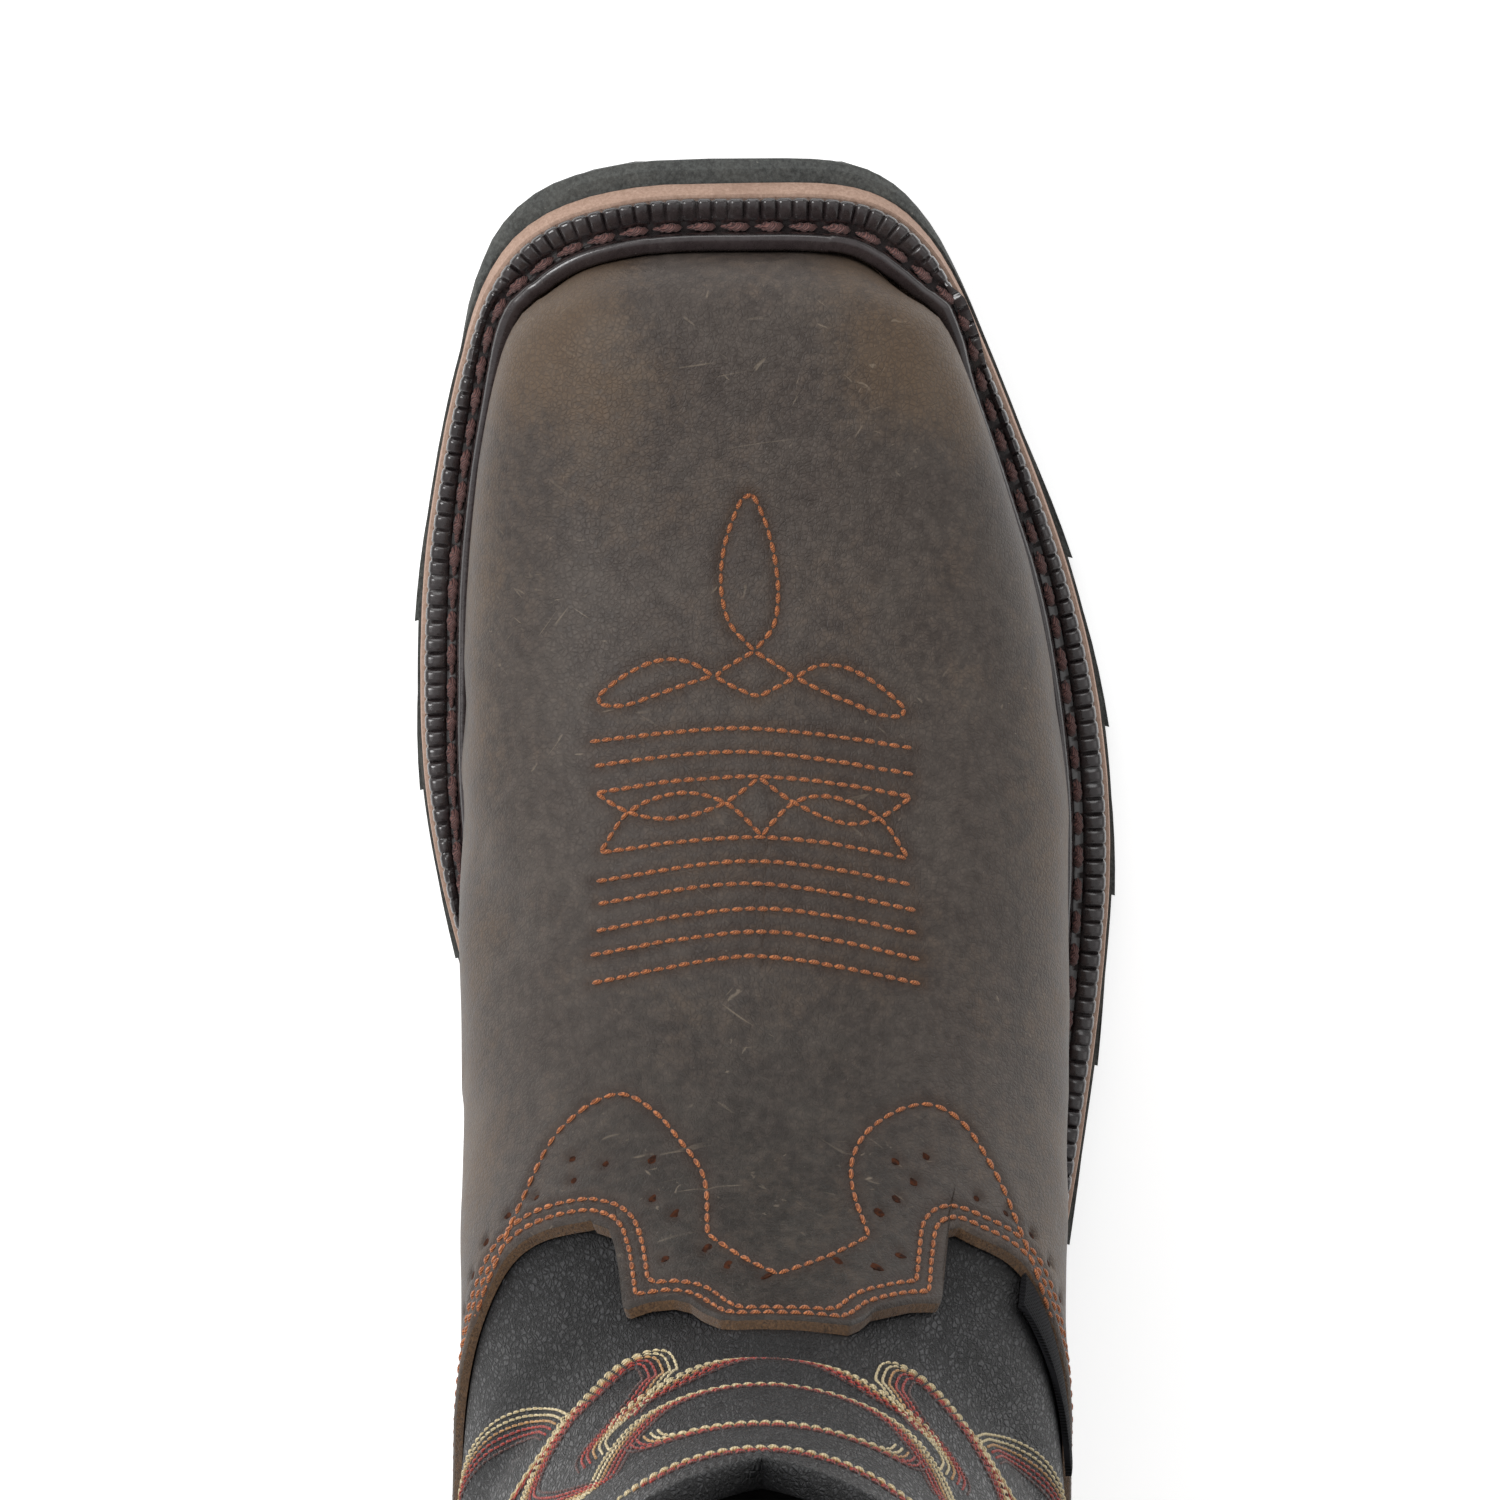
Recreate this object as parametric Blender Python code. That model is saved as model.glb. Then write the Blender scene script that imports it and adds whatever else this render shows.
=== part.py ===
"""Right-foot western work boot, pull-on, with a wide square toe, standing empty on its sole.

Frame: metres, +X to the toe, +Y to the medial side, +Z up. The origin is the centre of the heel's
resting face on the floor. The upper is worked out from sections of the last, and every other piece
takes its place from the upper's surface, the last's bottom outline and the sole's side profile.
"""

import math

import bmesh
import bpy
import numpy as np
from mathutils import Vector
from mathutils.bvhtree import BVHTree

# Driving sizes of the last
LAST_LENGTH = 0.292
BALL_WIDTH = 0.094
HEEL_POINT_X = -0.034
INSTEP_RISE = 0.095
ANKLE_WIDTH = 0.094
SHAFT_WIDTH = 0.100
SHAFT_TOP = 0.304
COLLAR_DIP = 0.054
COLLAR_CURVE = 1.15

# Leather
WALL = 0.0021
OVERLAY_THICKNESS = 0.0019
FIT_GAP = 0.0003
SEAT_CLEARANCE = 0.0005
ROW_CLEARANCE = 0.0009
VAMP_TONGUE_TOP = 0.1285
TONGUE_HALF_WIDTH = 0.0248
TONGUE_POINT_HALF_WIDTH = 0.0115
TONGUE_SIDE = 0.0036
NOTCH_TOP = 0.100
VAMP_SIDE_TOP = 0.092
COUNTER_BACK_TOP = 0.116
SIDE_SEAM_AT = 0.69
NOTCH_END = 0.50
SEAM_SLACK = 0.04
TONGUE_CORNER_DROP = 0.0150
TONGUE_CORNER_BOW = 0.35

# Sole
HEEL_HEIGHT = 0.034
HEEL_TAPER = 0.0025
HEEL_LIFT = 0.007
HEEL_LIFT_STEP = 0.0008
TOE_SPRING = 0.0145
LUG_DEPTH = 0.004
LUG_PITCH = 0.0290
LUG_GAP = 0.0050
LUG_STAGGER = 0.011
LUG_TOOTH = 0.0010
LUG_TOOTH_MIDDLE = 0.6
LUG_INSET = 0.0002
LUG_JOIN = 0.0012
LUG_LEAN = 0.0060
LUG_FIRST = 0.418
LUG_LAST = 0.921
EDGE_LUG_WIDTH = 0.0220
CENTRE_CHANNEL = 0.009
BAR_LENGTH = 0.0050
BAR_WIDTH = 0.0110
BAR_LEAN = 0.0080
TOE_LUG_GAP = 0.0020
TOE_LUG_MIDDLE = 0.97
TOE_LUG_INSET = 0.0004
TOE_LUG_FACE = 0.0045
OUTSOLE_THICKNESS = 0.0056
MIDSOLE_THICKNESS = 0.0040
MIDSOLE_FLARE = 0.0002
INSOLE_THICKNESS = 0.0030
INSOLE_CLEARANCE = 0.0015
INSOLE_BEVEL = 0.0006
SOLE_REACH = 0.0115
SOLE_REACH_FROM = 0.42
HEEL_REACH = 0.0048
TOE_MIDSOLE_REACH = 0.0014
TOE_OUTSOLE_REACH = 0.0034
TOE_REACH_FROM = 0.93
TOE_REACH_SIDE = 0.35
OUTSOLE_EDGE_REACH = 0.0005

# Welt
WELT_THICKNESS = 0.0032
WELT_GROOVE_DEPTH = 0.0008
WELT_GROOVE_WIDTH = 0.0030
WELT_RIDGE_WIDTH = 0.0022
WELT_RIDGE_HEIGHT = 0.0058
WELT_GROOVE_BEVEL = 0.0005
WELT_RIDGE_FOOT = 0.0003
WELT_RIDGE_ROUND = 0.0006
WELT_END_SHARE = 0.27
WELT_PROBES = (0.0016, 0.0036, 0.0062)
PROBE_START = 0.030

# Collar and trim
BINDING_THICKNESS = 0.0010
BINDING_HEIGHT = 0.0065
BINDING_CROWN = 0.0016
STRAP_WIDTH = 0.030
STRAP_THICKNESS = 0.0022
STRAP_DROP = 0.050
STRAP_LOOP = 0.016
STRAP_LEG_STOPS = (1.0, 0.6, 0.25, 0.0)
SEAM_TOP_TURN = 0.5
SEAM_STRIP_WIDTH = 0.0060
SEAM_STRIP_THICKNESS = 0.0014
SEAM_STRIP_EDGE = 0.35
TAB_LENGTH = 0.028
TAB_HEIGHT = 0.008
TAB_THICKNESS = 0.0013
TAB_CENTRE = 0.56

# Mesh fineness
COLUMNS = 52
SKIRT_ROWS = 8
EDGE_ROWS = 4
ANKLE_ROWS = 3
SHAFT_ROWS = 5
OVERLAY_ROWS = SKIRT_ROWS + EDGE_ROWS
SKIRT_CROWDING = 1.6
TURN_WEIGHT = 0.5
SKIRT_DROP = 0.012
ANKLE_RISE = 0.040
SOLE_STATIONS = 36
END_ZONE = 0.012
END_SHARES = (0.0, 0.025, 0.10, 0.29, 0.60)
BREAST_MARGIN = 0.002
OUTLINE_SAMPLES = 480
WELT_STATIONS = 62

# The last's bottom outline. along: share of LAST_LENGTH from the heel.
# medial, lateral: half-widths as shares of BALL_WIDTH.
OUTLINE = (
    (0.012, 0.155, 0.155),
    (0.045, 0.262, 0.262),
    (0.110, 0.328, 0.325),
    (0.200, 0.335, 0.338),
    (0.300, 0.312, 0.362),
    (0.400, 0.302, 0.412),
    (0.480, 0.327, 0.459),
    (0.560, 0.395, 0.495),
    (0.640, 0.459, 0.513),
    (0.700, 0.487, 0.505),
    (0.760, 0.492, 0.476),
    (0.820, 0.482, 0.424),
    (0.880, 0.453, 0.355),
    (0.930, 0.418, 0.293),
    (0.965, 0.381, 0.245),
    (0.985, 0.330, 0.206),
    (0.997, 0.215, 0.160),
)
TOE_TIP_SIDE = 0.03

# Sections across the foot, from the toe to the heel. Each is a plane from a base line on the sole
# to a point of the top ridge. base, ridge: shares of LAST_LENGTH. rise: ridge height over the sole's
# top, share of INSTEP_RISE. medial, lateral: greatest half-widths, shares of BALL_WIDTH.
# widest: share of the way up where they lie. turn: share of the half girth above that.
# top_square, side_bow: exponents of the top and side curves. ridge_side: ridge shift to medial.
FOOT_COLUMNS = ("base", "ridge", "rise", "medial", "lateral", "widest", "turn", "top_square", "side_bow", "ridge_side")
FOOT_SECTIONS = (
    (0.935, 1.0000, 0.000, 0.412, 0.288, 0.00, 1.00, 2.35, 2.0, 0.030),
    (0.930, 0.9985, 0.085, 0.420, 0.302, 0.18, 0.90, 2.50, 2.0, 0.030),
    (0.922, 0.9930, 0.165, 0.432, 0.318, 0.28, 0.84, 2.70, 2.0, 0.030),
    (0.910, 0.9800, 0.228, 0.448, 0.338, 0.32, 0.80, 2.80, 2.0, 0.030),
    (0.890, 0.9550, 0.275, 0.466, 0.367, 0.34, 0.77, 2.70, 2.0, 0.030),
    (0.855, 0.9120, 0.318, 0.486, 0.410, 0.35, 0.76, 2.60, 2.0, 0.030),
    (0.805, 0.8500, 0.365, 0.503, 0.462, 0.36, 0.75, 2.50, 2.0, 0.025),
    (0.745, 0.7750, 0.422, 0.511, 0.505, 0.36, 0.74, 2.40, 2.0, 0.020),
    (0.675, 0.7000, 0.495, 0.514, 0.532, 0.37, 0.73, 2.30, 2.0, 0.020),
    (0.600, 0.6300, 0.585, 0.514, 0.533, 0.40, 0.72, 2.20, 2.0, 0.020),
    (0.515, 0.5650, 0.690, 0.512, 0.529, 0.48, 0.68, 2.10, 1.7, 0.015),
    (0.420, 0.5150, 0.800, 0.506, 0.522, 0.55, 0.62, 2.05, 1.5, 0.010),
    (0.310, 0.4750, 0.920, 0.502, 0.514, 0.60, 0.57, 2.00, 1.4, 0.005),
    (0.190, 0.4520, 1.030, 0.516, 0.524, 0.62, 0.54, 2.00, 1.4, 0.000),
    (0.080, 0.4430, 1.110, 0.526, 0.530, 0.62, 0.53, 2.00, 1.5, 0.000),
    (0.000, 0.4380, 1.230, 0.528, 0.530, 0.60, 0.52, 2.00, 1.7, 0.000),
)

# Closed sections of the ankle and the shaft. back, front: shares of LAST_LENGTH.
# back_up, front_up: heights as shares of SHAFT_TOP. medial, lateral: half-widths, shares of
# SHAFT_WIDTH. widest: share of the way from back to front.
SHAFT_COLUMNS = ("back", "back_up", "front", "front_up", "medial", "lateral", "widest", "side_bow")
SHAFT_SECTIONS = (
    (-0.016, 0.217, 0.4370, 0.533, 0.500, 0.502, 0.57, 1.9),
    (-0.012, 0.303, 0.4380, 0.586, 0.497, 0.498, 0.54, 2.0),
    (0.002, 0.401, 0.4400, 0.641, 0.494, 0.494, 0.52, 2.0),
    (0.006, 0.510, 0.4420, 0.697, 0.492, 0.492, 0.50, 2.0),
    (0.000, 0.632, 0.4450, 0.763, 0.492, 0.492, 0.50, 2.0),
    (-0.012, 0.763, 0.4500, 0.836, 0.493, 0.493, 0.50, 2.0),
    (-0.022, 0.888, 0.4580, 0.914, 0.496, 0.496, 0.50, 2.0),
    (-0.030, 1.000, 0.4680, 1.000, 0.500, 0.500, 0.50, 2.0),
)
SHAFT_TURN = 0.50
SHAFT_SQUARE = 2.0
PATH_SHARES = (0.0, 0.10, 0.50, 0.80, 0.92)
PATH_RISES = (0.2, 0.2, 1.0, 1.2, 2.0)
PATH_BENDS = (4.0, 4.0, 4.0, 5.0, 8.0)
FRONT_SPREAD = 0.5
PATH_SAMPLES = 120
START_BLEND = 12
TURN_STEP = 0.004
COLUMN_CROWDING = 0.30
NOTCH_SLOPE = 0.0012

# Underside of the sole. along: share of LAST_LENGTH.
FLAT_BACK, FLAT_FRONT = 0.58, 0.76
BREAST_SHARE = 0.245

# Colours as linear red, green, blue, then roughness
PAINTS = {
    "oiled_leather": (0.055, 0.040, 0.030, 0.55),
    "black_leather": (0.012, 0.012, 0.014, 0.50),
    "lining": (0.030, 0.030, 0.032, 0.90),
    "welt_rubber": (0.018, 0.012, 0.013, 0.35),
    "midsole_tan": (0.370, 0.200, 0.130, 0.65),
    "outsole_rubber": (0.022, 0.024, 0.022, 0.75),
    "woven_black": (0.010, 0.010, 0.013, 0.85),
}


def clear_scene():
    for obj in list(bpy.data.objects):
        bpy.data.objects.remove(obj, do_unlink=True)


def paint(name):
    """A Principled material, made once for each finish."""
    if name in bpy.data.materials:
        return bpy.data.materials[name]
    material = bpy.data.materials.new(name)
    material.use_nodes = True
    shader = material.node_tree.nodes["Principled BSDF"]
    red, green, blue, roughness = PAINTS[name]
    shader.inputs["Base Color"].default_value = (red, green, blue, 1.0)
    shader.inputs["Roughness"].default_value = roughness
    shader.inputs["Metallic"].default_value = 0.0
    return material


def make_object(name, points, faces, finish):
    """One closed solid, with its faces turned outwards."""
    mesh = bpy.data.meshes.new(name)
    mesh.from_pydata([tuple(p) for p in points], [], [tuple(f) for f in faces])
    work = bmesh.new()
    work.from_mesh(mesh)
    bmesh.ops.remove_doubles(work, verts=work.verts, dist=1e-7)
    bmesh.ops.recalc_face_normals(work, faces=work.faces)
    bmesh.ops.triangulate(work, faces=work.faces)
    work.to_mesh(mesh)
    work.free()
    mesh.shade_smooth()
    mesh.set_sharp_from_angle(angle=math.radians(40))
    obj = bpy.data.objects.new(name, mesh)
    mesh.materials.append(paint(finish))
    bpy.context.scene.collection.objects.link(obj)
    return obj


def along(share):
    """X of a share of the last's length."""
    return HEEL_POINT_X + share * LAST_LENGTH


def smooth_step(value):
    value = np.clip(value, 0.0, 1.0)
    return value * value * (3 - 2 * value)


def ground(x):
    """Height of the tread plane over the floor: toe spring, flat ball, waist and heel seat."""
    toe = np.clip((x - along(FLAT_FRONT)) / (along(1.0) - along(FLAT_FRONT)), 0, 2)
    waist = (along(FLAT_BACK) - x) / (along(FLAT_BACK) - along(BREAST_SHARE))
    heel_rise = HEEL_HEIGHT - LUG_DEPTH
    return TOE_SPRING * toe**2 + heel_rise * smooth_step(waist)


def sole_top(x):
    """Height of the midsole's upper face, on which upper, insole and welt sit."""
    return ground(x) + LUG_DEPTH + OUTSOLE_THICKNESS + FIT_GAP + MIDSOLE_THICKNESS


def closed_spline(points, samples):
    """Evenly spaced points on a closed centripetal Catmull-Rom curve."""
    points = np.asarray(points, float)
    count = len(points)
    curve = []
    for i in range(count):
        p0, p1, p2, p3 = (points[(i + k) % count] for k in (-1, 0, 1, 2))
        t1 = np.linalg.norm(p1 - p0) ** 0.5
        t2 = t1 + np.linalg.norm(p2 - p1) ** 0.5
        t3 = t2 + np.linalg.norm(p3 - p2) ** 0.5
        for t in np.linspace(t1, t2, 24, endpoint=False):
            a1 = (t1 - t) / t1 * p0 + t / t1 * p1
            a2 = (t2 - t) / (t2 - t1) * p1 + (t - t1) / (t2 - t1) * p2
            a3 = (t3 - t) / (t3 - t2) * p2 + (t - t2) / (t3 - t2) * p3
            b1 = (t2 - t) / t2 * a1 + t / t2 * a2
            b2 = (t3 - t) / (t3 - t1) * a2 + (t - t1) / (t3 - t1) * a3
            curve.append((t2 - t) / (t2 - t1) * b1 + (t - t1) / (t2 - t1) * b2)
    curve = np.array(curve + curve[:1])
    run = np.concatenate([[0], np.cumsum(np.linalg.norm(np.diff(curve, axis=0), axis=1))])
    at = np.linspace(0, run[-1], samples, endpoint=False)
    return np.stack([np.interp(at, run, curve[:, k]) for k in (0, 1)], axis=1)


def bottom_outline():
    """The last's bottom outline from the heel, along the medial side, round the toe and back."""
    medial = [(along(a), m * BALL_WIDTH) for a, m, _ in OUTLINE]
    lateral = [(along(a), -w * BALL_WIDTH) for a, _, w in reversed(OUTLINE)]
    tip = [(along(1.0), TOE_TIP_SIDE * BALL_WIDTH)]
    return closed_spline([(along(0.0), 0.0)] + medial + tip + lateral, OUTLINE_SAMPLES)


def outward(outline):
    """Unit normals of a closed outline, pointing away from it."""
    run = np.roll(outline, -1, axis=0) - np.roll(outline, 1, axis=0)
    normal = np.stack([-run[:, 1], run[:, 0]], axis=1)
    return normal / np.linalg.norm(normal, axis=1)[:, None]


FEATHER = bottom_outline()
FEATHER_NORMAL = outward(FEATHER)
TOE_INDEX = int(np.argmax(FEATHER[:, 0]))


def reach_at(x):
    """How far the sole's edge stands out from the last's bottom outline."""
    share = (x - along(BREAST_SHARE)) / (along(SOLE_REACH_FROM) - along(BREAST_SHARE))
    return HEEL_REACH + (SOLE_REACH - HEEL_REACH) * smooth_step(share)


def toe_share(x):
    """0 behind the ball, 1 at the toe."""
    return smooth_step((x - along(TOE_REACH_FROM)) / (along(1.0) - along(TOE_REACH_FROM)))


def offset_outline(distance, forward=0.0):
    """The bottom outline moved out by a distance, a number or a function of X, and on at the toe."""
    x = FEATHER[:, 0]
    d = distance(x) if callable(distance) else np.full(len(FEATHER), distance)
    outline = FEATHER + FEATHER_NORMAL * d[:, None]
    outline += forward * toe_share(x)[:, None] * np.array([1.0, TOE_REACH_SIDE])
    return outline


def side_at(x, outline, side):
    """Y of an outline at X, on the medial (+1) or the lateral (-1) side."""
    tip = int(np.argmax(outline[:, 0]))
    heel = int(np.argmin(outline[:, 0]))
    order = np.roll(np.arange(len(outline)), -heel)
    turn = int(np.where(order == tip)[0][0])
    part = outline[order[: turn + 1]] if side > 0 else outline[order[turn:]][::-1]
    return np.interp(x, part[:, 0], part[:, 1])


FOOT_TABLE = {name: np.array([row[i] for row in FOOT_SECTIONS]) for i, name in enumerate(FOOT_COLUMNS)}
SHAFT_TABLE = {name: np.array([row[i] for row in SHAFT_SECTIONS]) for i, name in enumerate(SHAFT_COLUMNS)}
LAST_FOOT_ROW = len(FOOT_SECTIONS) - 1
TOP_ROW = len(FOOT_SECTIONS) + len(SHAFT_SECTIONS) - 1


def section_table():
    """Both tables as one, in metres, with a row for each section."""
    foot, shaft = FOOT_TABLE, SHAFT_TABLE
    ones = np.ones(len(SHAFT_SECTIONS))
    ridge_x = along(foot["ridge"])
    blend = smooth_step((np.arange(len(FOOT_SECTIONS)) - 10) / (LAST_FOOT_ROW - 10))
    width = BALL_WIDTH + (ANKLE_WIDTH - BALL_WIDTH) * blend
    return {
        "base_x": np.concatenate([along(foot["base"]), along(shaft["back"])]),
        "base_z": np.concatenate([sole_top(along(foot["base"])), shaft["back_up"] * SHAFT_TOP]),
        "ridge_x": np.concatenate([ridge_x, along(shaft["front"])]),
        "ridge_z": np.concatenate([sole_top(ridge_x) + foot["rise"] * INSTEP_RISE, shaft["front_up"] * SHAFT_TOP]),
        "medial": np.concatenate([foot["medial"] * width, shaft["medial"] * SHAFT_WIDTH]),
        "lateral": np.concatenate([foot["lateral"] * width, shaft["lateral"] * SHAFT_WIDTH]),
        "widest": np.concatenate([foot["widest"], shaft["widest"]]),
        "turn": np.concatenate([foot["turn"], SHAFT_TURN * ones]),
        "square": np.concatenate([foot["top_square"], SHAFT_SQUARE * ones]),
        "bow": np.concatenate([foot["side_bow"], shaft["side_bow"]]),
        "ridge_y": np.concatenate([foot["ridge_side"] * BALL_WIDTH, 0 * ones]),
    }


SECTIONS = section_table()


def smooth_read(values, row):
    """A column of the table between its rows, by a Catmull-Rom curve."""
    row = np.clip(row, 0, len(values) - 1)
    i = np.minimum(row.astype(int), len(values) - 2)
    t = row - i
    p0, p1, p2, p3 = (values[np.clip(i + k, 0, len(values) - 1)] for k in (-1, 0, 1, 2))
    return 0.5 * (2 * p1 + (p2 - p0) * t + (2 * p0 - 5 * p1 + 4 * p2 - p3) * t**2 + (3 * p1 - p0 - 3 * p2 + p3) * t**3)


def last_point(row, turn):
    """Points of the upper's outer surface. row: section. turn: -1 lateral base, 0 ridge, 1 medial."""
    row, turn = np.atleast_1d(row).astype(float), np.atleast_1d(turn).astype(float)
    at = {name: smooth_read(values, row) for name, values in SECTIONS.items()}
    medial = turn >= 0
    side = np.where(medial, 1.0, -1.0)
    on_foot = row < LAST_FOOT_ROW
    base_x = np.where(on_foot, np.minimum(at["base_x"], along(1.0)), at["base_x"])
    base_z = np.where(on_foot, sole_top(base_x), at["base_z"])
    edge = np.abs(np.where(medial, side_at(base_x, FEATHER, 1), side_at(base_x, FEATHER, -1)))
    edge = np.where(on_foot, edge, 0.0)
    wide = np.maximum(np.where(medial, at["medial"], at["lateral"]), edge)
    split = np.minimum(at["turn"], 0.9999)
    above = np.abs(turn) <= split
    angle = np.clip(1 - np.abs(turn) / split, 0, 1) * math.pi / 2
    power = 2 / at["square"]
    shift = at["ridge_y"] * side
    top_y = shift + (wide - shift) * np.maximum(np.cos(angle), 0) ** power
    top_q = at["widest"] + (1 - at["widest"]) * np.sin(angle) ** power
    down = np.sin(np.clip((np.abs(turn) - split) / (1 - split), 0, 1) * math.pi / 2)
    low_y = np.sqrt(np.maximum(wide**2 - (wide**2 - edge**2) * down ** at["bow"], 0.0))
    y = np.where(above, top_y, low_y)
    q = np.where(above, top_q, at["widest"] * (1 - down))
    x = base_x + q * (at["ridge_x"] - base_x)
    z = base_z + q * (at["ridge_z"] - base_z)
    return np.stack([x, side * y, z], axis=-1)


def feather_start(column):
    """Where a meridian starts: section row, turn and outline point. column: -1..1, 0 at the toe."""
    side = 1 if column >= 0 else -1
    half = FEATHER[TOE_INDEX::-1] if side > 0 else np.concatenate([FEATHER[TOE_INDEX:], FEATHER[:1]])
    run = np.concatenate([[0], np.cumsum(np.linalg.norm(np.diff(half, axis=0), axis=1))])
    corner = np.interp(-SECTIONS["base_x"][0], -half[:, 0], run)
    distance = abs(column) * run[-1]
    point = np.array([np.interp(distance, run, half[:, k]) for k in (0, 1)])
    point = np.append(point, sole_top(point[0]))
    if distance < corner:
        turns = np.linspace(-1, 1, 181)
        front = last_point(np.zeros(181), turns)
        return 0.0, float(np.interp(point[1], front[:, 1], turns)), point
    rows = np.linspace(0, LAST_FOOT_ROW, 400)
    return float(np.interp(-point[0], -smooth_read(SECTIONS["base_x"], rows), rows)), float(side), point


def collar_turn(column):
    """Where a meridian ends on the collar: 0 at the front, 1 at the back."""
    share = abs(column)
    return math.copysign(FRONT_SPREAD * share + (1 - FRONT_SPREAD) * share**3, column)


def meridian(column):
    """Points up a line of the outer surface, from the last's edge at the sole to the top section."""
    row, turn, start = feather_start(column)
    up = np.linspace(0, 1, PATH_SAMPLES)
    share = abs(column)
    goal = collar_turn(column)
    rise = 1 + float(np.interp(share, PATH_SHARES, PATH_RISES))
    bend = float(np.interp(share, PATH_SHARES, PATH_BENDS))
    rows = row + (TOP_ROW - row) * up**rise
    path = last_point(rows, goal + (turn - goal) * (1 - up) ** bend)
    path[:, :2] += (start - path[0])[:2] * (1 - up[:, None]) ** START_BLEND
    path[0] = start
    return path


def cut_path(path, height):
    """Distance along a meridian at which it first reaches a height."""
    run = np.concatenate([[0], np.cumsum(np.linalg.norm(np.diff(path, axis=0), axis=1))])
    above = int(np.argmax(path[:, 2] >= height))
    if above == 0:
        return run[-1]
    share = (height - path[above - 1, 2]) / (path[above, 2] - path[above - 1, 2])
    return run[above - 1] + share * (run[above] - run[above - 1])


def walk_values(path, values, distances):
    """Values held by a meridian's points, read at distances along it."""
    run = np.concatenate([[0], np.cumsum(np.linalg.norm(np.diff(path, axis=0), axis=1))])
    return np.stack([np.interp(distances, run, values[:, k]) for k in range(3)], axis=-1)


def walk(path, distances):
    """Points at distances along a meridian."""
    return walk_values(path, path, distances)


def collar_height(column):
    """The collar dips at the front and the back and is highest at the sides."""
    return SHAFT_TOP - COLLAR_DIP * (1 - abs(math.sin(math.pi * collar_turn(column)))) ** COLLAR_CURVE


def side_sweep(share):
    """The top edge of vamp and counter beside the tongue: down to the side seam, up to the back."""
    back = max(0.0, share - SIDE_SEAM_AT) / (1 - SIDE_SEAM_AT)
    return VAMP_SIDE_TOP + (COUNTER_BACK_TOP - VAMP_SIDE_TOP) * float(smooth_step(back))


def tongue_column(side, half_width):
    """The meridian that crosses the tongue's height at a half-width."""
    shares = np.linspace(0.01, 0.4, 40)
    paths = [meridian(side * share) for share in shares]
    reach = [abs(walk(path, cut_path(path, VAMP_TONGUE_TOP))[1]) for path in paths]
    return float(np.interp(half_width, reach, shares))


def meridian_columns():
    """Meridians round the boot, from the heel by the medial side to the toe and back by the lateral.

    Three of them on each side are moved to the tongue's corner and either side of its edge."""
    half = COLUMNS // 2
    sides = {}
    for side in (1, -1):
        even = np.arange(half + 1) / half
        shares = even - COLUMN_CROWDING * np.sin(2 * math.pi * even) / (2 * math.pi)
        set_over = side * TONGUE_SIDE
        edge = tongue_column(side, TONGUE_HALF_WIDTH - set_over)
        corner = tongue_column(side, TONGUE_POINT_HALF_WIDTH - set_over)
        beyond = tongue_column(side, TONGUE_HALF_WIDTH - set_over + NOTCH_SLOPE)
        inner = int(np.argmin(abs(shares - edge)))
        shares[inner] = edge
        shares[inner + 1] = beyond
        shares[1 + int(np.argmin(abs(shares[1:inner] - corner)))] = corner
        sides[side] = (shares, edge, corner)
    medial = sides[1][0][::-1]
    lateral = -sides[-1][0][1:-1]
    return np.concatenate([medial, lateral]), {side: sides[side][1:] for side in sides}


COLUMN_AT, TONGUE_EDGES = meridian_columns()


def side_top(column):
    """Height of the brown leather's top edge beside the tongue: notch, side and counter."""
    share = abs(column)
    edge = TONGUE_EDGES[1 if column >= 0 else -1][0]
    fall = float(smooth_step((share - edge) / (NOTCH_END - edge)))
    return NOTCH_TOP + (side_sweep(share) - NOTCH_TOP) * fall


def leather_top(column):
    """Height of the brown leather's top edge on a meridian, with the tongue."""
    share = abs(column)
    edge, corner = TONGUE_EDGES[1 if column >= 0 else -1]
    if share > edge + 1e-9:
        return side_top(column)
    return VAMP_TONGUE_TOP - TONGUE_CORNER_DROP * max(0.0, (share - corner) / (edge - corner)) ** TONGUE_CORNER_BOW


def seat_lift(line):
    """How far each point of the leather's lower edge rises, so that its facets clear the midsole."""
    after = np.roll(line, -1, axis=0)
    lift = np.full(len(line), FIT_GAP)
    for share in (0.25, 0.5, 0.75):
        middle = line * (1 - share) + after * share
        need = sole_top(middle[:, 0]) + SEAT_CLEARANCE - middle[:, 2]
        lift = np.maximum(lift, np.maximum(need, np.roll(need, 1)))
    return lift


def seated(sheet, ring=False):
    """The sheet with its first row resting just clear of the midsole, and no other row below it."""
    sheet = sheet.copy()
    sheet[1:, :, 2] = np.maximum(sheet[1:, :, 2], sole_top(sheet[1:, :, 0]) + ROW_CLEARANCE)
    sheet[0, :, 2] = sole_top(sheet[0, :, 0])
    lift = seat_lift(sheet[0])
    if not ring:
        lift[0], lift[-1] = lift[1], lift[-2]
    sheet[0, :, 2] += lift
    return sheet


def next_to(column, step):
    """A column a step further on, counted on past the heel."""
    moved = column + step
    return moved - 2 if moved > 1 else moved + 2 if moved < -1 else moved


def crowded(path, end):
    """Distances of the skirt's rows up a meridian. They stand closer together where it turns."""
    steps = np.diff(path, axis=0)
    lengths = np.linalg.norm(steps, axis=1)
    headings = steps / lengths[:, None]
    turning = np.arccos(np.clip((headings[1:] * headings[:-1]).sum(axis=1), -1, 1))
    run = np.concatenate([[0], np.cumsum(lengths)])
    turned = np.concatenate([[0, 0], np.cumsum(turning)])
    within = run / end
    share = within**(1 / SKIRT_CROWDING) * (1 - TURN_WEIGHT) + turned / np.interp(end, run, turned) * TURN_WEIGHT
    return np.interp(np.arange(SKIRT_ROWS) / SKIRT_ROWS, share, run)


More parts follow.
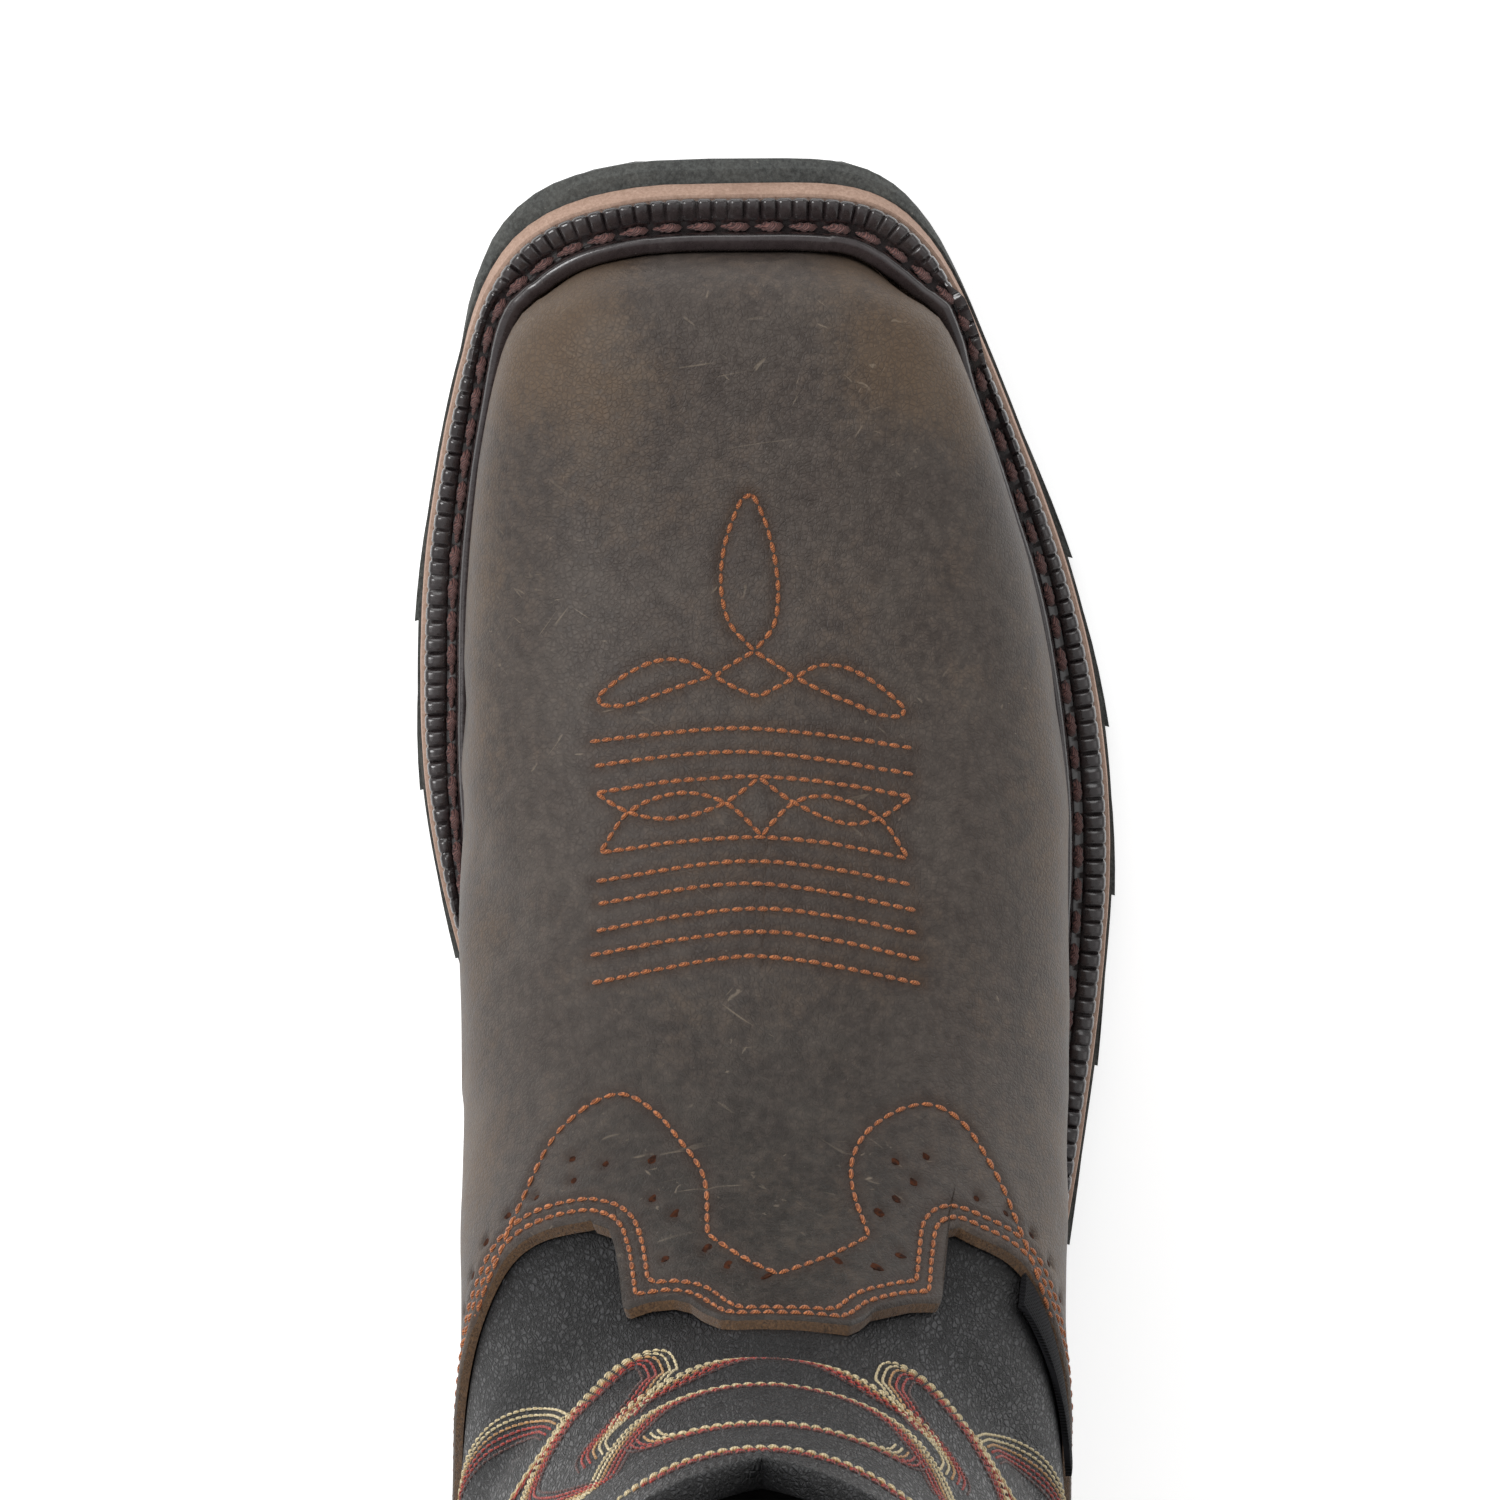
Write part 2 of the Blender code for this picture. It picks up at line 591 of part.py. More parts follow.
def upper_grid():
    """Outer surface and its unit normals, in rows from the sole to the collar.

    Row OVERLAY_ROWS runs along the brown leather's top edge, and the last two hold the binding."""
    grid = np.zeros((OVERLAY_ROWS + ANKLE_ROWS + SHAFT_ROWS + 2, len(COLUMN_AT), 3))
    normals = np.zeros_like(grid)
    for j, column in enumerate(COLUMN_AT):
        path = meridian(column)
        edge = cut_path(path, leather_top(column))
        top = cut_path(path, collar_height(column))
        skirt = cut_path(path, side_top(column) - SKIRT_DROP)
        ankle = cut_path(path, side_top(column) + ANKLE_RISE)
        stops = (0, skirt, edge, ankle, top - BINDING_HEIGHT)
        counts = (SKIRT_ROWS, EDGE_ROWS, ANKLE_ROWS, SHAFT_ROWS)
        runs = [np.linspace(a, b, n, endpoint=False) for a, b, n in zip(stops, stops[1:], counts)]
        runs[0] = crowded(path, skirt)
        at = np.concatenate(runs + [[top - BINDING_HEIGHT, top]])
        grid[:, j] = walk(path, at)
        around = meridian(next_to(column, TURN_STEP)) - meridian(next_to(column, -TURN_STEP))
        facing = np.cross(around, np.gradient(path, axis=0))
        nearest = np.argmin(np.linalg.norm(FEATHER - path[0, :2], axis=1))
        facing[0] = *FEATHER_NORMAL[nearest] * np.linalg.norm(facing[1]), 0
        normals[:, j] = walk_values(path, facing, at)
    normals[-1, :, 2] = 0
    normals /= np.linalg.norm(normals, axis=2)[..., None]
    return grid, normals


GRID, NORMALS = upper_grid()
GRID[1:, :, 2] += FIT_GAP


def at_column(values, column):
    """Values of the grid between two of its columns, which lie on the same flat facet."""
    low = int(math.floor(column))
    share = column - low
    count = values.shape[1]
    return values[:, low % count] * (1 - share) + values[:, (low + 1) % count] * share


def split(a, b, c, d, points):
    """A quad as two triangles across its shorter diagonal."""
    if np.linalg.norm(points[a] - points[c]) <= np.linalg.norm(points[b] - points[d]):
        return (a, b, c), (a, c, d)
    return (a, b, d), (b, c, d)


def shell(name, outer, inner, finish, ring, guide=None):
    """A closed wall between two grids of points. guide: grid whose shorter diagonals both follow."""
    rows, columns = outer.shape[:2]
    guide = (outer if guide is None else guide).reshape(-1, 3)
    points = np.concatenate([outer.reshape(-1, 3), inner.reshape(-1, 3)])
    shift = rows * columns
    faces = []
    last = columns if ring else columns - 1
    for i in range(rows - 1):
        for j in range(last):
            k = (j + 1) % columns
            quad = (i * columns + j, i * columns + k, (i + 1) * columns + k, (i + 1) * columns + j)
            for a, b, c in split(*quad, guide):
                faces.append((a, b, c))
                faces.append((a + shift, c + shift, b + shift))
    for i in (0, rows - 1):
        for j in range(last):
            k = (j + 1) % columns
            a, b = i * columns + j, i * columns + k
            faces.append((a, a + shift, b + shift, b))
    if not ring:
        for j in (0, columns - 1):
            for i in range(rows - 1):
                a, b = i * columns + j, (i + 1) * columns + j
                faces.append((a, b, b + shift, a + shift))
    return make_object(name, points, faces, finish)


def make_upper():
    """Shaft and lined foot as one open wall: open under the foot and at the collar."""
    outer, inner = seated(GRID, ring=True), seated(GRID - NORMALS * WALL, ring=True)
    return shell("upper", outer, inner, "black_leather", ring=True, guide=GRID)


def overlay(name, columns, row_low, row_high, thickness, finish, gap=FIT_GAP):
    """A sheet of leather laid on the upper, over a run of its columns and rows."""
    points = np.stack([at_column(GRID, c) for c in columns], axis=1)[row_low : row_high + 1]
    normals = np.stack([at_column(NORMALS, c) for c in columns], axis=1)[row_low : row_high + 1]
    normals /= np.linalg.norm(normals, axis=2)[..., None]
    outer, inner = points + normals * (gap + thickness), points + normals * gap
    if row_low == 0:
        outer, inner = seated(outer), seated(inner)
    return shell(name, outer, inner, finish, ring=False, guide=points)


def seam_columns():
    """Grid column numbers of the medial and lateral side seams."""
    half = COLUMNS // 2
    medial = float(np.interp(-SIDE_SEAM_AT, -COLUMN_AT[: half + 1], np.arange(half + 1)))
    return medial, 2 * half - medial


def seam_top_column(side):
    """Grid column number of the collar's highest part, where seam and pull strap stand."""
    half = COLUMNS // 2
    turns = [abs(collar_turn(c)) for c in COLUMN_AT[: half + 1]]
    place = float(np.interp(-SEAM_TOP_TURN, -np.array(turns), np.arange(half + 1)))
    return place if side > 0 else 2 * half - place


def column_run(low, high):
    """Every grid column between two places, and the two places."""
    inside = [float(c) for c in range(math.ceil(low + 0.05), math.floor(high - 0.05) + 1)]
    return [low] + inside + [high]


def make_vamp():
    medial, lateral = seam_columns()
    return overlay("vamp", column_run(medial, lateral), 0, OVERLAY_ROWS, OVERLAY_THICKNESS, "oiled_leather")


def make_counter():
    medial, lateral = seam_columns()
    columns = column_run(lateral + SEAM_SLACK, medial - SEAM_SLACK + COLUMNS)
    return overlay("heel_counter", columns, 0, OVERLAY_ROWS, OVERLAY_THICKNESS, "oiled_leather")


def make_side_seam(name, side):
    """The welted seam up one side of the shaft, from the brown leather to the pull strap."""
    half = COLUMNS // 2
    columns = np.arange(1, half) if side > 0 else np.arange(COLUMNS - 1, half, -1)
    top_x = at_column(GRID, seam_top_column(side))[-1, 0]
    low_x = at_column(GRID, seam_columns()[0 if side > 0 else 1])[OVERLAY_ROWS, 0]
    line, facing = [], []
    for row in range(OVERLAY_ROWS + 1, len(GRID) - 1):
        height = GRID[row, columns, 2].mean()
        share = (height - VAMP_SIDE_TOP) / (SHAFT_TOP - VAMP_SIDE_TOP)
        x = low_x + (top_x - low_x) * share
        near = columns[np.argsort(GRID[row, columns, 0])]
        point = np.array([np.interp(x, GRID[row, near, 0], GRID[row, near, k]) for k in range(3)])
        normal = np.array([np.interp(x, GRID[row, near, 0], NORMALS[row, near, k]) for k in range(3)])
        if point[2] < SHAFT_TOP - STRAP_DROP - SEAM_STRIP_WIDTH:
            line.append(point)
            facing.append(normal / np.linalg.norm(normal))
    line, facing = np.array(line), np.array(facing)
    across = np.cross(facing, np.gradient(line, axis=0))
    across /= np.linalg.norm(across, axis=1)[:, None]
    half_width = SEAM_STRIP_WIDTH / 2
    base = np.stack([line - across * half_width, line, line + across * half_width], axis=1)
    lift = np.stack([facing] * 3, axis=1)
    crown = np.array([SEAM_STRIP_EDGE, 1.0, SEAM_STRIP_EDGE])[None, :, None]
    gap = 2 * FIT_GAP
    outer, inner = base + lift * (gap + SEAM_STRIP_THICKNESS * crown), base + lift * gap
    return shell(name, outer, inner, "black_leather", ring=False)


def make_binding():
    """A folded strip over the collar's edge, as deep as the grid's last row."""
    low, top = GRID[-2], GRID[-1]
    low_normal, top_normal = NORMALS[-2], NORMALS[-1]
    upward = top - low
    upward /= np.linalg.norm(upward, axis=1)[:, None]
    out, back = FIT_GAP, WALL + FIT_GAP
    seat = top + upward * FIT_GAP
    profile = [
        low + low_normal * out,
        low + low_normal * (out + BINDING_THICKNESS),
        seat + top_normal * (out + BINDING_THICKNESS),
        seat - top_normal * WALL / 2 + upward * BINDING_CROWN,
        seat - top_normal * (back + BINDING_THICKNESS),
        low - low_normal * (back + BINDING_THICKNESS),
        low - low_normal * back,
        seat - top_normal * back,
        seat + top_normal * out,
    ]
    return band("collar_binding", np.stack(profile, axis=1), "black_leather", closed=True)


def band(name, points, finish, closed):
    """A solid through a run of like profiles, as an array of (profile, point, xyz)."""
    count, width = points.shape[:2]
    faces = []
    for i in range(count if closed else count - 1):
        n = (i + 1) % count
        for j in range(width):
            k = (j + 1) % width
            faces.append((i * width + j, n * width + j, n * width + k, i * width + k))
    if not closed:
        faces.append(tuple(range(width)))
        faces.append(tuple(range((count - 1) * width, count * width)))
    return make_object(name, points.reshape(-1, 3), faces, finish)


def strap_route():
    """The strap's middle line seen from its edge, as (out from the shaft, up from the collar)."""
    clear = 2 * FIT_GAP + BINDING_THICKNESS + STRAP_THICKNESS / 2
    inner = -(WALL + clear)
    bend, centre = (clear - inner) / 2, (clear + inner) / 2
    legs = [(clear, -STRAP_DROP * share) for share in STRAP_LEG_STOPS]
    turn = np.linspace(0, math.pi, 9)
    arc = [(centre + bend * math.cos(t), STRAP_LOOP - bend * (1 - math.sin(t))) for t in turn]
    back = [(inner, up) for _, up in reversed(legs)]
    return np.array(legs + arc + back)


def make_pull_strap(name, column):
    """A leather loop over the collar, sewn to the shaft outside and inside."""
    route = strap_route()
    run = np.gradient(route, axis=0)
    run /= np.linalg.norm(run, axis=1)[:, None]
    across = np.stack([run[:, 1], -run[:, 0]], axis=1) * STRAP_THICKNESS / 2
    width = np.linalg.norm(at_column(GRID, column + 1)[-1] - at_column(GRID, column - 1)[-1]) / 2
    reach = STRAP_WIDTH / 2 / width
    sheets = [[], []]
    for place in column_run(column - reach, column + reach):
        points, normals = at_column(GRID, place)[::-1], at_column(NORMALS, place)[::-1]
        down = np.concatenate([[0], np.cumsum(np.linalg.norm(np.diff(points, axis=0), axis=1))])
        rise = (points[0] - points[1]) / down[1]
        for sheet, sign in zip(sheets, (1, -1)):
            line = []
            for out, up in route + across * sign:
                depth = max(-up, 0.0)
                base = np.array([np.interp(depth, down, points[:, k]) for k in range(3)])
                normal = np.array([np.interp(depth, down, normals[:, k]) for k in range(3)])
                line.append(base + rise * max(up, 0.0) + normal * out)
            sheet.append(line)
    outer, inner = (np.array(sheet).transpose(1, 0, 2) for sheet in sheets)
    return shell(name, outer, inner, "black_leather", ring=False)


def make_side_tab():
    """The plain woven tab sewn in over the vamp's lateral edge."""
    half = COLUMNS // 2
    centre = 2 * half - float(np.interp(-TAB_CENTRE, -COLUMN_AT[: half + 1], np.arange(half + 1)))
    girth = np.linalg.norm(at_column(GRID, centre + 1)[OVERLAY_ROWS] - at_column(GRID, centre)[OVERLAY_ROWS])
    reach = TAB_LENGTH / 2 / girth
    columns = column_run(centre - reach, centre + reach)
    lower = np.stack([at_column(GRID, c)[OVERLAY_ROWS] for c in columns])
    upper = np.stack([at_column(GRID, c)[OVERLAY_ROWS + 1] for c in columns])
    normal = np.stack([at_column(NORMALS, c)[OVERLAY_ROWS] for c in columns])
    upward = upper - lower
    upward /= np.linalg.norm(upward, axis=1)[:, None]
    gap = 1.5 * FIT_GAP
    base = np.stack([lower + upward * FIT_GAP, lower + upward * TAB_HEIGHT], axis=0)
    lift = np.stack([normal, normal], axis=0)
    return shell("side_tab", base + lift * (gap + TAB_THICKNESS), base + lift * gap, "woven_black", ring=False)


def stations(outline, breast=None):
    """X stations along an outline. Those between its round ends are the same for every outline."""
    heel, toe = outline[:, 0].min(), outline[:, 0].max()
    inner = np.linspace(along(0.0) + END_ZONE, along(1.0) - END_ZONE, SOLE_STATIONS)
    back = heel + (inner[0] - heel) * np.array(END_SHARES)
    front = toe + (inner[-1] - toe) * np.array(END_SHARES[::-1])
    x = np.concatenate([back, inner, front])
    return x if breast is None else np.append(x[x < breast - BREAST_MARGIN], breast)


def plate(name, rings, finish, breast=None):
    """A slab under the foot. rings, top to bottom: (reach beyond the last, further at toe, height)."""
    loops = []
    for reach, forward, height in rings:
        outline = offset_outline(reach, forward)
        x = stations(outline, breast)
        medial = np.stack([x, side_at(x, outline, 1), height(x)], axis=1)
        lateral = np.stack([x, side_at(x, outline, -1), height(x)], axis=1)
        end = len(x) if breast is not None else len(x) - 1
        loops.append(np.concatenate([medial, lateral[1:end][::-1]]))
    count, size = len(x), len(loops[0])
    points = np.concatenate(loops)
    faces = []
    for ring in range(len(loops) - 1):
        for j in range(size):
            k = (j + 1) % size
            faces.append((ring * size + j, ring * size + k, (ring + 1) * size + k, (ring + 1) * size + j))
    for ring in (0, len(loops) - 1):
        for i in range(count - 1):
            corners = [i, i + 1, (size - i - 1) % size, (size - i) % size]
            unique = list(dict.fromkeys(corners))
            if len(unique) > 2:
                faces.append(tuple(ring * size + c for c in unique))
    return make_object(name, points, faces, finish)


def below_top(depth):
    return lambda x: sole_top(x) - depth


def make_midsole():
    """The tan layer between welt and outsole. Its edge slopes out towards the toe."""
    rings = (
        (reach_at, 0.0, below_top(0)),
        (lambda x: reach_at(x) + MIDSOLE_FLARE, TOE_MIDSOLE_REACH, below_top(MIDSOLE_THICKNESS)),
    )
    return plate("midsole", rings, "midsole_tan")


def make_insole():
    """The footbed inside the upper's wall, resting on the midsole."""
    edge = -(WALL + INSOLE_CLEARANCE)
    rings = (
        (edge - INSOLE_BEVEL, 0.0, lambda x: sole_top(x) + FIT_GAP + INSOLE_THICKNESS),
        (edge, 0.0, below_top(-FIT_GAP)),
    )
    return plate("insole", rings, "lining")


def outsole_reach(x):
    return reach_at(x) + OUTSOLE_EDGE_REACH


def lug_prism(outline, top_reach):
    """Points and faces of one tread lug from its plan outline, its lower face on the tread plane."""
    lower = [(x, y, ground(x)) for x, y in outline]
    upper = [(x, y, ground(x) + LUG_DEPTH + top_reach) for x, y in outline]
    n = len(outline)
    faces = [tuple(range(n))[::-1], tuple(range(n, 2 * n))]
    faces += [(j, (j + 1) % n, (j + 1) % n + n, j + n) for j in range(n)]
    return lower + upper, faces


def edge_lug(side, low, high, edge_line):
    """A saw-tooth lug along the sole's edge, widest at its toe end, and angled to the middle."""
    corners = []
    for x, tooth in ((low, LUG_TOOTH), ((low + high) / 2, LUG_TOOTH * LUG_TOOTH_MIDDLE), (high, 0.0)):
        corners.append((x, side * (abs(side_at(x, edge_line, side)) + tooth - LUG_INSET)))
    inner = []
    for x in (high, low):
        reach = abs(side_at(x, edge_line, side))
        inner.append((x + LUG_LEAN, side * max(reach - EDGE_LUG_WIDTH, CENTRE_CHANNEL)))
    return corners + inner


def centre_lug(low, high):
    """A chevron bar across the middle of the forepart."""
    front = (low + high) / 2 + BAR_LEAN / 2
    back = front - BAR_LENGTH
    half = BAR_WIDTH / 2
    return [
        (front - BAR_LEAN, -half),
        (front, 0.0),
        (front - BAR_LEAN, half),
        (back - BAR_LEAN, half),
        (back, 0.0),
        (back - BAR_LEAN, -half),
    ]


def make_outsole():
    """The rubber outsole: a plate with stepped edges, and the forepart's lugs joined to it."""
    top, bottom = MIDSOLE_THICKNESS + FIT_GAP, MIDSOLE_THICKNESS + FIT_GAP + OUTSOLE_THICKNESS
    toe_reach = TOE_MIDSOLE_REACH + TOE_OUTSOLE_REACH
    rings = (
        (outsole_reach, TOE_MIDSOLE_REACH, below_top(top)),
        (outsole_reach, toe_reach, below_top(0.5 * (top + bottom))),
        (outsole_reach, toe_reach, below_top(bottom)),
    )
    outsole = plate("outsole", rings, "outsole_rubber")
    edge_line = offset_outline(outsole_reach, toe_reach)
    start, stop = along(LUG_FIRST), along(LUG_LAST)
    count = int((stop - start) / LUG_PITCH)
    pitch = (stop - start) / count
    points, faces = [], []
    shapes = []
    for i in range(count):
        low = start + i * pitch
        high = low + pitch - LUG_GAP
        shapes.append(edge_lug(1, low - LUG_STAGGER, high - LUG_STAGGER, edge_line))
        shapes.append(edge_lug(-1, low, high, edge_line)[::-1])
        if i > 0:
            shapes.append(centre_lug(low, high))
    tip = edge_line[:, 0].max()
    front = [along(LUG_LAST) + TOE_LUG_GAP, along(TOE_LUG_MIDDLE), tip - TOE_LUG_FACE, tip - 2 * TOE_LUG_INSET]
    toe = [(x, float(side_at(x, edge_line, 1)) - TOE_LUG_INSET) for x in front]
    toe += [(x, float(side_at(x, edge_line, -1)) + TOE_LUG_INSET) for x in reversed(front)]
    shapes.append(toe)
    for shape in shapes:
        new_points, new_faces = lug_prism(shape, LUG_JOIN)
        faces += [tuple(v + len(points) for v in face) for face in new_faces]
        points += new_points
    lugs = make_object("lug_cutter", points, faces, "outsole_rubber")
    lugs.hide_render = True
    lugs.display_type = "WIRE"
    join = outsole.modifiers.new("join lugs", "BOOLEAN")
    join.operation = "UNION"
    join.object = lugs
    join.solver = "EXACT"
    return outsole


def make_heel():
    """The stacked heel block with its rubber top piece as a step, square at the breast."""
    breast = along(BREAST_SHARE)
    top = HEEL_HEIGHT - FIT_GAP
    reach = HEEL_REACH + OUTSOLE_EDGE_REACH
    rings = (
        (reach, 0.0, lambda x: top + 0 * x),
        (reach - HEEL_TAPER, 0.0, lambda x: HEEL_LIFT + 0 * x),
        (reach - HEEL_TAPER + HEEL_LIFT_STEP, 0.0, lambda x: HEEL_LIFT - HEEL_LIFT_STEP + 0 * x),
        (reach - HEEL_TAPER, 0.0, lambda x: 0 * x),
    )
    return plate("heel", rings, "outsole_rubber", breast=breast)


def surface_tree():
    """The vamp's and counter's outer faces, to measure the welt against."""
    outer = seated(GRID + NORMALS * (OVERLAY_THICKNESS + FIT_GAP), ring=True)
    rows, columns = outer.shape[:2]
    faces = []
    for i in range(rows - 1):
        for j in range(columns):
            k = (j + 1) % columns
            faces.append((i * columns + j, i * columns + k, (i + 1) * columns + k, (i + 1) * columns + j))
    return BVHTree.FromPolygons([Vector(p) for p in outer.reshape(-1, 3)], faces)


def probe(tree, index, height):
    """How far the leather stands out beyond an outline point, at a height over the midsole."""
    (x, y), out = FEATHER[index], FEATHER_NORMAL[index]
    start = Vector((x + out[0] * PROBE_START, y + out[1] * PROBE_START, sole_top(x) + height))
    hit = tree.ray_cast(start, Vector((-out[0], -out[1], 0.0)))[0]
    return (hit.x - x) * out[0] + (hit.y - y) * out[1]


def make_welt():
    """A strip from heel breast to heel breast: flat edge, sewing groove and a ridge on the vamp."""
    tree = surface_tree()
    order = np.arange(len(FEATHER))[FEATHER[:, 0] > along(WELT_END_SHARE)]
    leather = np.array([[probe(tree, i, height) for height in WELT_PROBES] for i in order])
    picks = np.round(np.linspace(0, len(order) - 1, WELT_STATIONS)).astype(int)
    places, normals = FEATHER[order[picks]], FEATHER_NORMAL[order[picks]]
    step = np.linalg.norm(np.diff(places, axis=0), axis=1)
    turn = np.arccos(np.clip((normals[1:] * normals[:-1]).sum(axis=1), -1, 1))
    bulge = step * turn / 8
    bulge = np.maximum(np.append(bulge, 0), np.insert(bulge, 0, 0))
    profiles = []
    for pick, (x, y), out, clear in zip(picks, places, normals, bulge + FIT_GAP):
        reach = float(reach_at(x))
        inner = leather[max(pick - 5, 0) : pick + 6].max(axis=0) + clear
        low, crown = max(inner[:2]), max(inner)
        ridge = crown + WELT_RIDGE_WIDTH
        groove = ridge + WELT_GROOVE_WIDTH
        shape = (
            (low, 0.0),
            (reach, 0.0),
            (reach, WELT_THICKNESS),
            (groove, WELT_THICKNESS),
            (groove - WELT_GROOVE_BEVEL, WELT_THICKNESS - WELT_GROOVE_DEPTH),
            (ridge + WELT_RIDGE_FOOT, WELT_THICKNESS - WELT_GROOVE_DEPTH),
            (ridge - WELT_RIDGE_ROUND, WELT_RIDGE_HEIGHT),
            (crown, WELT_RIDGE_HEIGHT),
        )
        line = []
        for side, up in shape:
            px, py = x + out[0] * side, y + out[1] * side
            line.append((px, py, sole_top(px) + FIT_GAP + up))
        profiles.append(line)
    return band("welt", np.array(profiles), "welt_rubber", closed=False)


def main():
    clear_scene()
    make_outsole()
    make_heel()
    make_midsole()
    make_insole()
    make_welt()
    make_upper()
    make_vamp()
    make_counter()
    make_binding()
    make_side_tab()
    for name, side in (("medial", 1), ("lateral", -1)):
        make_side_seam("side_seam_" + name, side)
        make_pull_strap("pull_strap_" + name, seam_top_column(side))


main()
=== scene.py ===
# %% [markdown]
# # A western work boot, dressed cell by cell
# The solids of the boot come packed as a fixed frame. Each cell below takes one piece of the real
# boot, says how a maker gets it, and builds its visible surface over the solid that stands for it.
# Every piece reads the same last, so leather, welt and sole meet as they do in the frame.

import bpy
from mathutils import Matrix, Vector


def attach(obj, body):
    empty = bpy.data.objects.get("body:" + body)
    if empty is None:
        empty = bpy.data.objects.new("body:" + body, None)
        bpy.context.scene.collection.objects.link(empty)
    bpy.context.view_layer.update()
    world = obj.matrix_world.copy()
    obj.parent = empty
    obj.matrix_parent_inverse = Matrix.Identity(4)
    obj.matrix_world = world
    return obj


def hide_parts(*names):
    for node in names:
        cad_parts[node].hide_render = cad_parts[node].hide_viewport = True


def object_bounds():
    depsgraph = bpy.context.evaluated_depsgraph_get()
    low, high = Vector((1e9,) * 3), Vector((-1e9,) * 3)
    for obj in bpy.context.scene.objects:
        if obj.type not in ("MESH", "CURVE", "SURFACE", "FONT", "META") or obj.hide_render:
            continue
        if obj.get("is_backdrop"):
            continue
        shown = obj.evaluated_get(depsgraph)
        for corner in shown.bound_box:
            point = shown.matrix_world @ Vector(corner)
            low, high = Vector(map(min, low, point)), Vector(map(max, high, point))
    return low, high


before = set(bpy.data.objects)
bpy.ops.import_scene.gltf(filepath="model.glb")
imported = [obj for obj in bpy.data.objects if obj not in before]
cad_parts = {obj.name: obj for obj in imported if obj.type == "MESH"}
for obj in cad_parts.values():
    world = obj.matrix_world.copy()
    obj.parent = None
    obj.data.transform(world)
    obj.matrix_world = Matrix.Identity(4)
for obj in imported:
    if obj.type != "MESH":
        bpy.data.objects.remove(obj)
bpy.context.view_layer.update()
print("frame nodes:", sorted(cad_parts))

# %% Tools for the lesson
import math

import bmesh
import bpy
import numpy as np
from mathutils import Matrix, Vector
from mathutils.bvhtree import BVHTree
from mathutils.kdtree import KDTree

MM = 0.001
rng = np.random.default_rng(12)

# %% [markdown]
# ## The last
# A boot is made over a last, a foot-shaped form. Its bottom outline, its sections across the foot
# and the rings of the shaft are all that the leather needs. They are kept here as short tables of
# shares of a few real sizes, the same that the solids were worked out from, so that the surface
# can be read again at any fineness. A sculpted mesh would look as good but couldn't be measured.

# %% Sizes of last, leather and sole
LAST_LENGTH = 0.292
BALL_WIDTH = 0.094
HEEL_POINT_X = -0.034
INSTEP_RISE = 0.095
ANKLE_WIDTH = 0.094
SHAFT_WIDTH = 0.100
SHAFT_TOP = 0.304
COLLAR_DIP = 0.054
COLLAR_CURVE = 1.15
WALL = 0.0021
OVERLAY_THICKNESS = 0.0019
FIT_GAP = 0.0003
HEEL_HEIGHT = 0.034
TOE_SPRING = 0.0145
LUG_DEPTH = 0.004
OUTSOLE_THICKNESS = 0.0056
MIDSOLE_THICKNESS = 0.0040
INSOLE_THICKNESS = 0.0030
SOLE_REACH = 0.0115
HEEL_REACH = 0.0048
TOE_MIDSOLE_REACH = 0.0014
TOE_OUTSOLE_REACH = 0.0034
TOE_REACH_FROM = 0.93
TOE_REACH_SIDE = 0.35
OUTSOLE_EDGE_REACH = 0.0005
FLAT_BACK, FLAT_FRONT, BREAST_SHARE = 0.58, 0.76, 0.245
TOE_TIP_SIDE = 0.03

